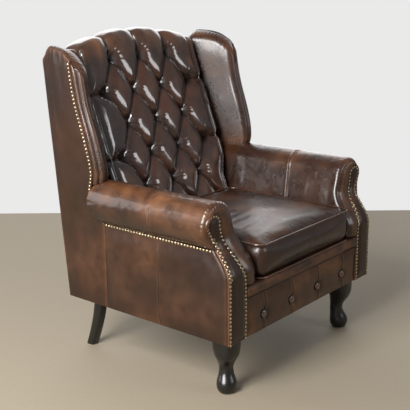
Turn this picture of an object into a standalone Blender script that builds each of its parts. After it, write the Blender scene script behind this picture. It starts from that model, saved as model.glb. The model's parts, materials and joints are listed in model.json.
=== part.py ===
"""Wing-back armchair in dark leather: beech frame, sinuous seat springs, tufted back,
scroll arms with nail trim, loose seat cushion, cabriole front legs and sabre rear legs.

Metres, +Z up. The front faces -Y, +X is on the right seen from the front, and the origin
lies on the floor under the middle of the chair. Depths are measured from the plane of the
arm facings, FRONT, towards the back.
"""

import math

import bmesh
import bpy
from mathutils import Matrix, Vector

# ---------------------------------------------------------------- driving sizes
FRONT = -0.3980               # y of the plane of the arm facings
GAP = 0.0003                  # between pieces that touch
LEATHER = 0.0025              # leather on its backing board

BODY_FLOOR = 0.188            # underside of the upholstered body
BODY_HALF_FRONT = 0.400       # half width of the body at the facings
BODY_HALF_BACK = 0.3875       # half width of the body at the rear rail
BODY_DEPTH = 0.681            # facings to outer back, at the body's underside
BACK_RAKE = 0.1386            # backward travel of the outer back for each metre up
SIDE_TAPER = 0.0353           # narrowing of the rear edge for each metre up

CREST_HEIGHT = 1.040          # highest point of the crest
CREST_DROP = 0.56             # crest line falls by this times x squared

RAIL_HEIGHT = 0.100
RAIL_THICK = 0.025
RAIL_FLOOR = BODY_FLOOR + 0.004
BLOCK_HEIGHT = 0.048
BLOCK_REACH = 0.040           # corner block beyond the middle of its leg
BLOCK_HALF = 0.042
POST_THICK = 0.028            # arm post, front to back

ARM_HALF_INSIDE = 0.2635      # from the middle to the inside of an arm
ARM_PAD_THICK = 0.030
ARM_ROLL_X = 0.365
ARM_ROLL_Z = 0.535
ARM_ROLL_RADIUS = 0.070
ARM_NAIL_Z = 0.4715           # where the roll meets the side panel
ARM_BOARD_THICK = 0.020
ARM_BACK = 0.600              # depth of the arm pad's rear end
ARM_PAD_LIFT = 0.0035         # foot of the arm pad above the deck
ARM_FRONT_SETBACK = 0.001     # padded front edge of an arm, behind the facing's plane
ARM_TO_WING = 0.004           # rear end of the roll to the outer wing's front edge
SIDE_SEAM = 0.500             # depth of the seam between side panel and outer wing

FACING_HALF_INNER = 0.3155
FACING_THICK = 0.008
FACING_HEAD_X = 0.392
FACING_HEAD_Z = 0.542
FACING_HEAD_RADIUS = 0.033
SWEEP_LOW = 0.385             # the facing starts to lean back here
SWEEP_HIGH = 0.510            # and stands upright again here
SWEEP_DEPTH = 0.062

DECK_TOP = 0.3525
LIP_FLOOR = 0.310             # lip above, border below
BORDER_SETBACK = 0.004
BORDER_THICK = 0.0075

CUSHION_HALF = 0.2515
CUSHION_BACK = 0.464          # depth of the cushion's rear face
CUSHION_FRONT = -0.004
CUSHION_SEAM_Z = 0.460
CUSHION_CROWN = 0.020
CUSHION_CORNER = 0.035
COVER_WALL = 0.003
ZIP_LENGTH = 0.400            # opening in the cover's rear wall
ZIP_DEEP = 0.012
ZIP_WIDE = 0.012

TUFT_PITCH = 0.139            # between two buttons of a row
TUFT_ROW_TOP = 0.956          # height of the highest row
TUFT_ROW_PITCH = 0.1028
TUFT_ROWS = (3, 4, 3, 4, 3)
TUFT_DEPTH_AT = 0.5418        # depth of the button plane at TUFT_LEVEL
TUFT_LEVEL = 0.500
TUFT_RAKE = 0.370             # backward travel of the button plane for each metre up
TUFT_SWELL = 0.020            # pad surface in front of the button plane
BUTTON_RADIUS = 0.0115
BUTTON_CLEARANCE = 0.001
BUTTON_SIDES = 8
TWINE_RADIUS = 0.0012
TWINE_CLEARANCE = 0.0006
TWINE_END = 0.004             # twine past the last button of a row
TUFT_POCKET = 0.006           # floor of a dimple behind the button plane
BORDER_POCKET = 0.0045

BACK_PAD_HALF_TOP = 0.298
PAD_WIDENS_AT = 0.575         # the back pad widens from here, above the arm rolls
PAD_WIDENS_OVER = 0.050
BACK_FRAME_IN = 0.0045        # outer back surface to the posts' rear face
BACK_FRAME_THICK = 0.035
WEB_THICK = 0.002

PAD_FIT = 0.001               # between the back pad and the rail it wraps
STEP_RISE = 0.0005            # height over which the pad steps out above rail and skin
WING_BOARD_THICK = 0.018
WING_FIT = 0.0012             # between the curved layers of a wing
WING_PAD_IN = 0.056           # outer wing surface to the inner face of its pad
WING_NOSE = 0.025             # padding ahead of the nail line
WING_FLOOR = 0.610

BORDER_BUTTONS = (-0.2250, -0.0750, 0.0750, 0.2250)
BORDER_BUTTON_Z = 0.2385

FRONT_LEG_X = 0.326
FRONT_LEG_Y = 0.068
REAR_LEG_X = 0.318
REAR_LEG_Y = 0.603
REAR_LEG_SPLAY = 0.051
BOLT_RADIUS = 0.004
BOLT_CLEARANCE = 0.0003
BOLT_IN_LEG = 0.040
BOLT_TIP_ROOM = 0.004         # between a bolt's tip and the end of its hole
BOLT_THREAD_OVER = 0.0035     # thread standing out above the nut
BOLT_SIDES = 12
NUT_HEIGHT = 0.0065
NUT_RADIUS = 0.0075
DRILL_PAST = 0.010            # a drill runs this far past the surface

SPRING_COUNT = 4
SPRING_PITCH = 0.115          # between two springs, side to side
SPRING_WIRE = 0.0018
SPRING_SWING = 0.024          # half width of one zigzag
SPRING_WAVES = 8

NAIL_STRIP_WIDTH = 0.005
NAIL_STRIP_PROUD = 0.0015
NAIL_STRIP_FIT = 0.0009       # off the curved leather

# ------------------------------------------------------------- derived sizes
RAIL_TOP = RAIL_FLOOR + RAIL_HEIGHT
SPRING_Z = RAIL_TOP + GAP + SPRING_WIRE
DECK_FLOOR = SPRING_Z + SPRING_WIRE + GAP
FRAME_INSIDE = ARM_HALF_INSIDE + ARM_PAD_THICK + GAP
ARM_BOARD_TOP = ARM_ROLL_Z - 0.015
ARM_BOARD_OUTER = ARM_ROLL_X + 0.005
FRONT_RAIL_Y = BORDER_SETBACK + BORDER_THICK + 2 * TWINE_RADIUS + GAP
CRESTRAIL_FLOOR = CREST_HEIGHT - 0.135
BACK_SUPPORT_FRONT = BACK_FRAME_IN + BACK_FRAME_THICK + GAP + WEB_THICK
BACK_PAD_IN = BACK_SUPPORT_FRONT + 2 * TWINE_RADIUS + 2 * GAP
BACK_PAD_HALF = ARM_HALF_INSIDE - 2 * GAP
LIP_BACK = FACING_THICK + GAP + POST_THICK
WING_SKIN = LEATHER + WING_FIT

SIDES = (("left", -1.0), ("right", 1.0))

# ------------------------------------------------------------------ finishes
# name: (colour, metallic, roughness)
FINISHES = {
    "leather": ((0.075, 0.030, 0.017), 0.0, 0.32),
    "frame_wood": ((0.48, 0.33, 0.19), 0.0, 0.60),
    "leg_wood": ((0.012, 0.010, 0.009), 0.0, 0.25),
    "brass": ((0.42, 0.29, 0.13), 1.0, 0.35),
    "steel": ((0.45, 0.45, 0.46), 1.0, 0.40),
    "foam": ((0.80, 0.74, 0.55), 0.0, 0.90),
    "webbing": ((0.16, 0.13, 0.10), 0.0, 0.85),
    "dust_cloth": ((0.02, 0.02, 0.02), 0.0, 0.90),
}


def make_finish(name):
    """One Principled material; every object gets a copy of its own."""
    colour, metallic, roughness = FINISHES[name]
    material = bpy.data.materials.new(name)
    material.use_nodes = True
    shader = material.node_tree.nodes["Principled BSDF"]
    shader.inputs["Base Color"].default_value = (*colour, 1.0)
    shader.inputs["Metallic"].default_value = metallic
    shader.inputs["Roughness"].default_value = roughness
    material.diffuse_color = (*colour, 1.0)
    return material


# ------------------------------------------------------------ reference lines
def flank(depth):
    """Half width of the body's outside at a depth behind the facings."""
    return BODY_HALF_FRONT + (BODY_HALF_BACK - BODY_HALF_FRONT) * depth / BODY_DEPTH


def back_depth(z):
    """Depth of the outer back's surface at a height."""
    return BODY_DEPTH + BACK_RAKE * (z - BODY_FLOOR)


def back_half(z):
    """Half width between the rear edges of the two outer wings."""
    return BODY_HALF_BACK - SIDE_TAPER * (z - BODY_FLOOR)


def body_half(depth, z):
    """Half width of the outside at a depth and a height, also behind the side seam."""
    if depth <= SIDE_SEAM:
        return flank(depth)
    t = (depth - SIDE_SEAM) / (back_depth(z) - SIDE_SEAM)
    return flank(SIDE_SEAM) + (back_half(z) - flank(SIDE_SEAM)) * t


def crest_line(x):
    """Height of the top outline at a distance from the middle."""
    return CREST_HEIGHT - CREST_DROP * x * x


def facing_sweep(z):
    """How far the arm's front has leaned back at a height."""
    t = min(max((z - SWEEP_LOW) / (SWEEP_HIGH - SWEEP_LOW), 0.0), 1.0)
    return SWEEP_DEPTH * t * t * (3.0 - 2.0 * t)


def button_depth(z):
    """Depth of the plane that the back's buttons lie in."""
    return TUFT_DEPTH_AT + TUFT_RAKE * (z - TUFT_LEVEL)


def slope_through(before, here, after, k):
    """Slope at a set point: level where the values turn, so that nothing overshoots."""
    if (here[k] - before[k]) * (after[k] - here[k]) <= 0.0:
        return 0.0
    return (after[k] - before[k]) / (after[0] - before[0])


def along(points, value):
    """Smooth value between hand-set (position, value...) points."""
    last = len(points) - 1
    i = 0
    while i < last - 1 and value > points[i + 1][0]:
        i += 1
    a, b = points[i], points[i + 1]
    before, after = points[max(i - 1, 0)], points[min(i + 2, last)]
    t = min(max((value - a[0]) / (b[0] - a[0]), 0.0), 1.0)
    result = []
    for k in range(1, len(a)):
        slope_a = slope_through(before, a, b, k) * (b[0] - a[0])
        slope_b = slope_through(a, b, after, k) * (b[0] - a[0])
        result.append(
            (2 * t**3 - 3 * t**2 + 1) * a[k]
            + (t**3 - 2 * t**2 + t) * slope_a
            + (3 * t**2 - 2 * t**3) * b[k]
            + (t**3 - t**2) * slope_b
        )
    return result


# height, inner edge, outer edge of an arm facing: straight foot, waist, round head
FACING_EDGES = (
    (BODY_FLOOR, FACING_HALF_INNER, BODY_HALF_FRONT),
    (0.330, FACING_HALF_INNER, BODY_HALF_FRONT),
    (0.385, 0.3185, BODY_HALF_FRONT),
    (0.430, 0.3290, 0.3970),
    (0.480, 0.3430, 0.3960),
    (0.510, 0.3525, 0.4090),
    (0.530, 0.3580, 0.4220),
    (0.543, 0.3590, 0.4250),
    (0.556, 0.3615, 0.4225),
    (0.567, 0.3700, 0.4140),
    (0.575, 0.3860, 0.3980),
)
# height, hidden inner edge of the leather wrapped round an arm's front
ARM_WRAP_EDGE = (
    (0.350, 0.2700),
    (0.440, 0.2720),
    (0.490, 0.2840),
    (0.525, 0.2915),
)
FACING_LEVELS = (
    [BODY_FLOOR, 0.330]
    + [SWEEP_LOW + (SWEEP_HIGH - SWEEP_LOW) * k / 8 for k in range(9)]
    + [0.522, 0.533, 0.543, 0.553, 0.562, 0.570, 0.575]
)

# height, half width, depth of the outer wing's front edge
WING_EDGE = (
    (BODY_FLOOR, flank(SIDE_SEAM), SIDE_SEAM),
    (ARM_NAIL_Z, flank(SIDE_SEAM), SIDE_SEAM),
    (0.500, 0.3955, 0.524),
    (0.530, 0.4000, 0.540),
    (0.565, 0.4030, 0.544),
    (0.630, 0.407, 0.530),
    (0.720, 0.410, 0.548),
    (0.850, 0.410, 0.590),
    (0.985, 0.410, 0.613),
)


# place from a wing's rear edge (0) to its nail line (1) and beyond, height of its top
WING_TOP = ((0.0, 0.967), (0.35, 1.010), (0.75, 1.002), (1.0, 0.975), (1.2, 0.935))
PAST_NAILS = 0.2              # metres for each unit of s beyond the nail line


def wing_top(s):
    """Top outline of a wing, from its rear edge (0) to its nail line (1)."""
    return along(WING_TOP, s)[0]


def wing_point(side, s, inward, z):
    """Point of the wing: s from rear edge to nail line, then inwards from its outside."""
    rear = Vector((back_half(z), back_depth(z)))
    edge = Vector(along(WING_EDGE, z))
    run = (edge - rear).normalized()
    normal = Vector((run.y, -run.x))
    place = rear + (edge - rear) * min(s, 1.0) + normal * inward
    if s > 1.0:
        place += run * (s - 1.0) * PAST_NAILS
    return Vector((side * place.x, FRONT + place.y, z))


# -------------------------------------------------------------- mesh helpers
def face_outwards(bm):
    """Makes the faces agree, then turns them all if the enclosed volume is negative."""
    bmesh.ops.recalc_face_normals(bm, faces=bm.faces)
    if bm.calc_volume(signed=True) < 0.0:
        bmesh.ops.reverse_faces(bm, faces=bm.faces)


def add_object(name, bm, finish, origin=(0.0, 0.0, 0.0), smooth=None):
    """Turns a bmesh in world places into an object whose origin is at the given point."""
    bmesh.ops.remove_doubles(bm, verts=bm.verts, dist=1e-6)
    face_outwards(bm)
    bmesh.ops.translate(bm, verts=bm.verts, vec=-Vector(origin))
    mesh = bpy.data.meshes.new(name)
    bm.to_mesh(mesh)
    bm.free()
    mesh.materials.append(make_finish(finish))
    if smooth is not None:
        mesh.shade_smooth()
        mesh.set_sharp_from_angle(angle=math.radians(smooth))
    obj = bpy.data.objects.new(name, mesh)
    obj.location = origin
    bpy.context.scene.collection.objects.link(obj)
    return obj


def loft_into(bm, rings, paired=False):
    """Skins equally long closed rings and closes both ends.

    A paired ring runs out along one side and back along the other, and its ends are
    closed with one face between each two opposite points, so that a bent end stays true.
    """
    rows = [[bm.verts.new(point) for point in ring] for ring in rings]
    count = len(rows[0])
    for low, high in zip(rows, rows[1:]):
        for i in range(count):
            j = (i + 1) % count
            bm.faces.new((low[i], low[j], high[j], high[i]))
    for row in (rows[0], rows[-1]):
        if not paired:
            bm.faces.new(row)
            continue
        for i in range(count // 2 - 1):
            bm.faces.new((row[i], row[i + 1], row[count - 2 - i], row[count - 1 - i]))


def loft(name, rings, finish, origin=(0.0, 0.0, 0.0), smooth=None, paired=False):
    bm = bmesh.new()
    loft_into(bm, rings, paired)
    return add_object(name, bm, finish, origin, smooth)


def sweep(name, outline, stations, place, finish, origin=(0.0, 0.0, 0.0), smooth=None):
    """Lofts a flat outline of (a, b) points; place(a, b, t) puts each point at station t."""
    rings = [[place(a, b, t) for a, b in outline] for t in stations]
    return loft(name, rings, finish, origin, smooth)


def sheet(name, sides, stations, place, finish, smooth=None):
    """As sweep, from two equally long sides of an outline, facing each other."""
    outline = list(sides[0]) + list(reversed(sides[1]))
    rings = [[place(a, b, t) for a, b in outline] for t in stations]
    return loft(name, rings, finish, (0.0, 0.0, 0.0), smooth, paired=True)


def box(name, low, high, finish):
    bm = bmesh.new()
    bmesh.ops.create_cube(bm, size=1.0)
    low, high = Vector(low), Vector(high)
    size = high - low
    bmesh.ops.scale(bm, vec=size, verts=bm.verts)
    bmesh.ops.translate(bm, vec=(low + high) / 2, verts=bm.verts)
    return add_object(name, bm, finish, (low + high) / 2)


def turned_into(bm, profile, centre, segments):
    """A body turned about the Y axis; profile is (y, radius), its ends on the axis."""
    x, z = centre
    rings = []
    for y, radius in profile[1:-1]:
        turn = [2 * math.pi * k / segments for k in range(segments)]
        rings.append([(x + radius * math.cos(a), y, z + radius * math.sin(a)) for a in turn])
    rows = [[bm.verts.new(point) for point in ring] for ring in rings]
    for low, high in zip(rows, rows[1:]):
        for i in range(segments):
            j = (i + 1) % segments
            bm.faces.new((low[i], low[j], high[j], high[i]))
    for row, y in ((rows[0], profile[0][0]), (rows[-1], profile[-1][0])):
        pole = bm.verts.new((x, y, z))
        for i in range(segments):
            bm.faces.new((row[i], row[(i + 1) % segments], pole))


def cylinder_into(bm, start, end, radius, segments):
    start, end = Vector(start), Vector(end)
    axis = end - start
    turn = axis.to_track_quat("Z", "Y").to_matrix().to_4x4()
    place = Matrix.Translation((start + end) / 2) @ turn
    bmesh.ops.create_cone(
        bm,
        cap_ends=True,
        segments=segments,
        radius1=radius,
        radius2=radius,
        depth=axis.length,
        matrix=place,
    )


def helper(bm):
    """A closed mesh that only takes part in a Boolean."""
    face_outwards(bm)
    mesh = bpy.data.meshes.new("helper")
    bm.to_mesh(mesh)
    bm.free()
    obj = bpy.data.objects.new("helper", mesh)
    bpy.context.scene.collection.objects.link(obj)
    return obj


def combine(obj, bm, operation):
    """Applies one Boolean to an object with the closed bodies of a bmesh."""
    other = helper(bm)
    modifier = obj.modifiers.new(operation.title(), "BOOLEAN")
    modifier.operation = operation
    modifier.solver = "EXACT"
    modifier.object = other
    bpy.context.view_layer.objects.active = obj
    bpy.ops.object.modifier_apply(modifier=modifier.name)
    bpy.data.objects.remove(other)


def arc(centre, radius, start, end, count):
    """Points of an arc in degrees, both ends included."""
    cx, cz = centre
    turn = [math.radians(start + (end - start) * k / (count - 1)) for k in range(count)]
    return [(cx + radius * math.cos(a), cz + radius * math.sin(a)) for a in turn]


def spread(start, end, count):
    return [start + (end - start) * k / (count - 1) for k in range(count)]


def at_depth(x, depth, z):
    return Vector((x, FRONT + depth, z))


# ---------------------------------------------------------------------- legs
# height, shift towards the outer front corner, half side, roundness (0 square, 1 round)
CABRIOLE = (
    (0.000, 0.000, 0.0200, 1.00),
    (0.010, 0.000, 0.0285, 1.00),
    (0.028, 0.001, 0.0335, 1.00),
    (0.042, -0.002, 0.0315, 1.00),
    (0.060, -0.008, 0.0250, 1.00),
    (0.080, -0.010, 0.0222, 0.90),
    (0.104, -0.003, 0.0275, 0.60),
    (0.127, 0.003, 0.0345, 0.40),
    (0.155, 0.000, 0.0380, 0.28),
    (RAIL_FLOOR - GAP, -0.001, 0.0385, 0.28),
)
LEG_RING_POINTS = 20
LEG_LEVELS = 16


def rounded_square(half, roundness, count):
    """Ring between a square and the circle inside it."""
    ring = []
    for k in range(count):
        a = 2 * math.pi * (k + 0.5) / count
        reach = half / max(abs(math.cos(a)), abs(math.sin(a)))
        radius = half * roundness + reach * (1.0 - roundness)
        radius = min(radius, half * (1.06 + 0.30 * (1.0 - roundness)))
        ring.append((radius * math.cos(a), radius * math.sin(a)))
    return ring


def drill(obj, x, y, bottom, top):
    bm = bmesh.new()
    cylinder_into(bm, (x, y, bottom), (x, y, top), BOLT_RADIUS + BOLT_CLEARANCE, BOLT_SIDES)
    combine(obj, bm, "DIFFERENCE")


def front_leg(side_name, side):
    centre = at_depth(side * FRONT_LEG_X, FRONT_LEG_Y, 0.0)
    rings = []
    for z in spread(0.0, RAIL_FLOOR - GAP, LEG_LEVELS):
        shift, half, roundness = along(CABRIOLE, z)
        corner = Vector((side, -1.0)).normalized() * shift
        ring = rounded_square(half, roundness, LEG_RING_POINTS)
        rings.append([(centre.x + corner.x + a, centre.y + corner.y + b, z) for a, b in ring])
    leg = loft("front_leg_" + side_name, rings, "leg_wood", centre, smooth=50)
    drill_leg(leg, centre)


def rear_leg(side_name, side):
    top = RAIL_FLOOR - GAP
    centre = at_depth(side * REAR_LEG_X, REAR_LEG_Y, 0.0)
    rings = []
    for z in spread(0.0, top, 9):
        low = 1.0 - z / top
        half = 0.0180 - 0.0020 * low
        back = REAR_LEG_SPLAY * low**1.6
        ring = rounded_square(half, 0.06, 16)
        rings.append([(centre.x + a, centre.y + b + back, z) for a, b in ring])
    leg = loft("rear_leg_" + side_name, rings, "leg_wood", centre, smooth=30)
    drill_leg(leg, centre)


def drill_leg(leg, centre):
    top = RAIL_FLOOR - GAP
    drill(leg, centre.x, centre.y, top - BOLT_IN_LEG, top + DRILL_PAST)


def leg_bolt(name, x, y):
    """Hanger bolt with its nut on top of the corner block."""
    nut_floor = RAIL_FLOOR + BLOCK_HEIGHT + GAP
    bm = bmesh.new()
    low = RAIL_FLOOR - BOLT_IN_LEG + BOLT_TIP_ROOM
    high = nut_floor + NUT_HEIGHT + BOLT_THREAD_OVER
    cylinder_into(bm, (x, y, low), (x, y, high), BOLT_RADIUS, BOLT_SIDES)
    bolt = add_object(name, bm, "steel", (x, y, nut_floor), smooth=40)
    nut = bmesh.new()
    cylinder_into(nut, (x, y, nut_floor), (x, y, nut_floor + NUT_HEIGHT), NUT_RADIUS, 6)
    combine(bolt, nut, "UNION")


# --------------------------------------------------------------------- frame
def seat_frame():
    front = FRONT_RAIL_Y
    box(
        "front_rail",
        at_depth(-FACING_HALF_INNER, front, RAIL_FLOOR),
        at_depth(FACING_HALF_INNER, front + RAIL_THICK, RAIL_TOP),
        "frame_wood",
    )
    rear = BODY_DEPTH - BACK_FRAME_IN + 0.001
    half = body_half(rear, RAIL_TOP) - LEATHER - RAIL_THICK - 4 * GAP
    box(
        "rear_rail",
        at_depth(-half, rear - RAIL_THICK, RAIL_FLOOR),
        at_depth(half, rear, RAIL_TOP),
        "frame_wood",
    )
    for name, side in SIDES:
        side_rail(name, side)
        start, stop = front + RAIL_THICK + GAP, FRONT_LEG_Y + BLOCK_REACH
        corner_block("front", name, side, (start, stop), (FRONT_LEG_X, FRONT_LEG_Y))
        start, stop = REAR_LEG_Y - BLOCK_REACH, rear - RAIL_THICK - GAP
        corner_block("rear", name, side, (start, stop), (REAR_LEG_X, REAR_LEG_Y))


def side_rail(name, side):
    outline = ((0.0, RAIL_FLOOR), (RAIL_THICK, RAIL_FLOOR), (RAIL_THICK, RAIL_TOP), (0.0, RAIL_TOP))
    start = FACING_THICK + GAP + POST_THICK + GAP
    stations = (start, SIDE_SEAM, BODY_DEPTH - BACK_FRAME_IN)
    skin = LEATHER + 2 * GAP

    def place(a, b, t):
        return at_depth(side * (body_half(t, RAIL_TOP) - skin - a), t, b)

    sweep("side_rail_" + name, outline, stations, place, "frame_wood")


def corner_block(end, name, side, span, leg):
    """Glued block in a corner of the seat frame, over a leg at (x, depth)."""
    start, stop = span
    leg_x, leg_y = leg
    outer = body_half(stop, RAIL_TOP) - LEATHER - RAIL_THICK - 3 * GAP
    inner = leg_x - BLOCK_HALF
    low, high = sorted((side * inner, side * outer))
    block = box(
        f"corner_block_{end}_{name}",
        at_depth(low, start, RAIL_FLOOR),
        at_depth(high, stop, RAIL_FLOOR + BLOCK_HEIGHT),
        "frame_wood",
    )
    spot = at_depth(side * leg_x, leg_y, 0.0)
    top = RAIL_FLOOR + BLOCK_HEIGHT
    drill(block, spot.x, spot.y, RAIL_FLOOR - DRILL_PAST, top + DRILL_PAST)
    leg_bolt(f"leg_bolt_{end}_{name}", spot.x, spot.y)


def arm_frame(name, side):
    board_floor = ARM_BOARD_TOP - ARM_BOARD_THICK
    outer = ARM_BOARD_OUTER
    low = FACING_THICK + GAP
    step = DECK_TOP + GAP
    outline = ((0.0, 0.0), (1.0, 0.0), (1.0, POST_THICK), (0.0, POST_THICK))
    heights = [RAIL_FLOOR, step, step + STEP_RISE]
    heights += [z for z in FACING_LEVELS if SWEEP_LOW <= z < board_floor - GAP]
    heights += [board_floor - GAP]

    def post(a, b, t):
        inner = FRAME_INSIDE if t > step else FACING_HALF_INNER + GAP
        return at_depth(side * (inner + (outer - inner) * a), facing_sweep(t) + low + b, t)

    sweep("arm_post_" + name, outline, heights, post, "frame_wood")

    start = facing_sweep(ARM_BOARD_TOP) + low
    stop = back_depth(board_floor) - BACK_SUPPORT_FRONT - GAP
    a, b = sorted((side * FRAME_INSIDE, side * outer))
    box(
        "arm_board_" + name,
        at_depth(a, start, board_floor),
        at_depth(b, stop, ARM_BOARD_TOP),
        "frame_wood",
    )
    tack_floor = RAIL_TOP + 0.023
    stop = back_depth(tack_floor) - BACK_SUPPORT_FRONT - GAP
    a, b = sorted((side * FRAME_INSIDE, side * FACING_HALF_INNER))
    box(
        "arm_tack_rail_" + name,
        at_depth(a, LIP_BACK + GAP, tack_floor),
        at_depth(b, stop, tack_floor + 0.055),
        "frame_wood",
    )


def back_frame():
    depth_in = BACK_FRAME_IN + BACK_FRAME_THICK
    for name, side in SIDES:
        outline = ((0.0, depth_in), (1.0, depth_in), (1.0, BACK_FRAME_IN), (0.0, BACK_FRAME_IN))

        def post(a, b, z, side=side):
            outer = back_half(z) - WING_SKIN - WING_BOARD_THICK - GAP
            x = FRAME_INSIDE + (outer - FRAME_INSIDE) * a
            return at_depth(side * x, back_depth(z) - b, z)

        heights = (RAIL_TOP + GAP, CRESTRAIL_FLOOR - GAP)
        sweep("back_post_" + name, outline, heights, post, "frame_wood")

    half = back_half(CREST_HEIGHT) - WING_SKIN - WING_BOARD_THICK - GAP
    outline = ((0.0, depth_in), (1.0, depth_in), (1.0, BACK_FRAME_IN), (0.0, BACK_FRAME_IN))

    def crest(a, b, x):
        top = crest_line(x) - 0.040
        z = CRESTRAIL_FLOOR + (top - CRESTRAIL_FLOOR) * a
        return at_depth(x, back_depth(z) - b, z)

    sweep("crest_rail", outline, spread(-half, half, 13), crest, "frame_wood")


def wing_frame(name, side):
    """Board between the outer leather and the inner pad of a wing."""
    floor = WING_FLOOR + 0.015
    steps = spread(0.03, 0.93, 6)
    outer = [(s, WING_SKIN) for s in steps]
    inner = [(s, WING_SKIN + WING_BOARD_THICK) for s in steps]

    def place(s, inward, t):
        z = floor + (wing_top(s) - 0.012 - floor) * t
        return wing_point(side, s, inward, z)

    sheet("wing_frame_" + name, (outer, inner), spread(0.0, 1.0, 10), place, "frame_wood")


# ------------------------------------------------------------ springs and webs
def seat_spring(index, x):
    """Zigzag wire from the front rail to the rear rail."""
    start = FRONT_RAIL_Y + 0.006
    stop = BODY_DEPTH - BACK_FRAME_IN - 0.006
    curve = bpy.data.curves.new(f"seat_spring_{index}", "CURVE")
    curve.dimensions = "3D"
    curve.bevel_depth = SPRING_WIRE
    curve.bevel_resolution = 1
    curve.use_fill_caps = True
    spline = curve.splines.new("POLY")
    steps = SPRING_WAVES * 6
    spline.points.add(steps)
    for k in range(steps + 1):
        turn = 2 * math.pi * SPRING_WAVES * k / steps
        swing = SPRING_SWING * max(-1.0, min(1.0, 1.35 * math.sin(turn)))
        depth = start + (stop - start) * k / steps
        spline.points[k].co = (swing, FRONT + depth, SPRING_Z, 1.0)
    curve.materials.append(make_finish("steel"))
    obj = bpy.data.objects.new(f"seat_spring_{index}", curve)
    obj.location = (x, 0.0, 0.0)
    bpy.context.scene.collection.objects.link(obj)


def back_support():
    """Hessian stretched over the front of the back posts; the pad is stuffed against it."""
    front = BACK_FRAME_IN + BACK_FRAME_THICK + GAP
    outline = ((0.0, 0.0), (1.0, 0.0), (1.0, WEB_THICK), (0.0, WEB_THICK))

    def place(a, b, z):
        half = back_half(z) - LEATHER - WING_BOARD_THICK - 0.010
        return at_depth(half * (2.0 * a - 1.0), back_depth(z) - front - b, z)

    heights = (RAIL_TOP + 0.020, CRESTRAIL_FLOOR + 0.020)
    sweep("back_support", outline, heights, place, "webbing")


# -------------------------------------------------------------------- covers
def seat_deck():
    box(
        "seat_deck",
        at_depth(-FRAME_INSIDE + 2 * GAP, LIP_BACK + GAP, DECK_FLOOR),
        at_depth(FRAME_INSIDE - 2 * GAP, 0.640, DECK_TOP),
        "foam",
    )


def front_lip():
    """Padded roll over the front rail, under the cushion."""
    step = FRONT_RAIL_Y - GAP
    floor = LIP_FLOOR + GAP
    outline = [(step, floor), (0.002, floor)]
    for turn in spread(-40, 90, 6):
        a = math.radians(turn)
        outline.append((0.008 - 0.012 * math.cos(a), 0.332 + (DECK_TOP - 0.332) * math.sin(a)))
    outline += [(LIP_BACK, DECK_TOP), (LIP_BACK, DECK_FLOOR), (step, DECK_FLOOR)]
    half = FACING_HALF_INNER - GAP

    def place(a, b, x):
        return at_depth(x, a, b)

    sweep("front_lip", outline, (-half, half), place, "leather", smooth=35)


def front_border():
    half = FACING_HALF_INNER - GAP
    border = box(
        "front_border",
        at_depth(-half, BORDER_SETBACK, BODY_FLOOR),
        at_depth(half, BORDER_SETBACK + BORDER_THICK, LIP_FLOOR),
        "leather",
    )
    cutters = bmesh.new()
    front = FRONT + BORDER_SETBACK
    back = front + BORDER_THICK
    for x in BORDER_BUTTONS:
        floor = front + BORDER_POCKET
        profile = pocket_profile(front - 0.020, 0.020, floor, back + 0.004)
        turned_into(cutters, profile, (x, BORDER_BUTTON_Z), BUTTON_SIDES)
    combine(border, cutters, "DIFFERENCE")
    twine_y = back + TWINE_RADIUS
    places = [(x, BORDER_BUTTON_Z) for x in BORDER_BUTTONS]
    button_row("front_border_buttons", places, front + 0.0010, twine_y)


def pocket_profile(mouth_y, mouth_radius, floor_y, end_y):
    """Turned cutter of a button's dimple and of the hole for its twine."""
    hole = TWINE_RADIUS + TWINE_CLEARANCE
    return (
        (mouth_y, 0.0),
        (mouth_y, mouth_radius),
        (floor_y, BUTTON_RADIUS + BUTTON_CLEARANCE),
        (floor_y, hole),
        (end_y, hole),
        (end_y, 0.0),
    )


def button_row(name, places, face, twine_y):
    """Covered buttons tied by one twine that runs behind the pad."""
    first, last = places[0], places[-1]
    bm = bmesh.new()
    cylinder_into(
        bm,
        (first[0] - TWINE_END, twine_y, first[1]),
        (last[0] + TWINE_END, twine_y, last[1]),
        TWINE_RADIUS,
        6,
    )
    row = add_object(name, bm, "leather", (0.0, face, first[1]), smooth=40)
    buttons = bmesh.new()
    for place in places:
        profile = (
            (face - 0.0045, 0.0),
            (face - 0.0030, 0.62 * BUTTON_RADIUS),
            (face, BUTTON_RADIUS),
            (face + 0.0022, BUTTON_RADIUS * 0.8),
            (face + 0.0026, TWINE_RADIUS * 0.9),
            (twine_y, TWINE_RADIUS * 0.9),
            (twine_y + TWINE_RADIUS * 0.5, 0.0),
        )
        turned_into(buttons, profile, place, BUTTON_SIDES)
    combine(row, buttons, "UNION")


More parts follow.
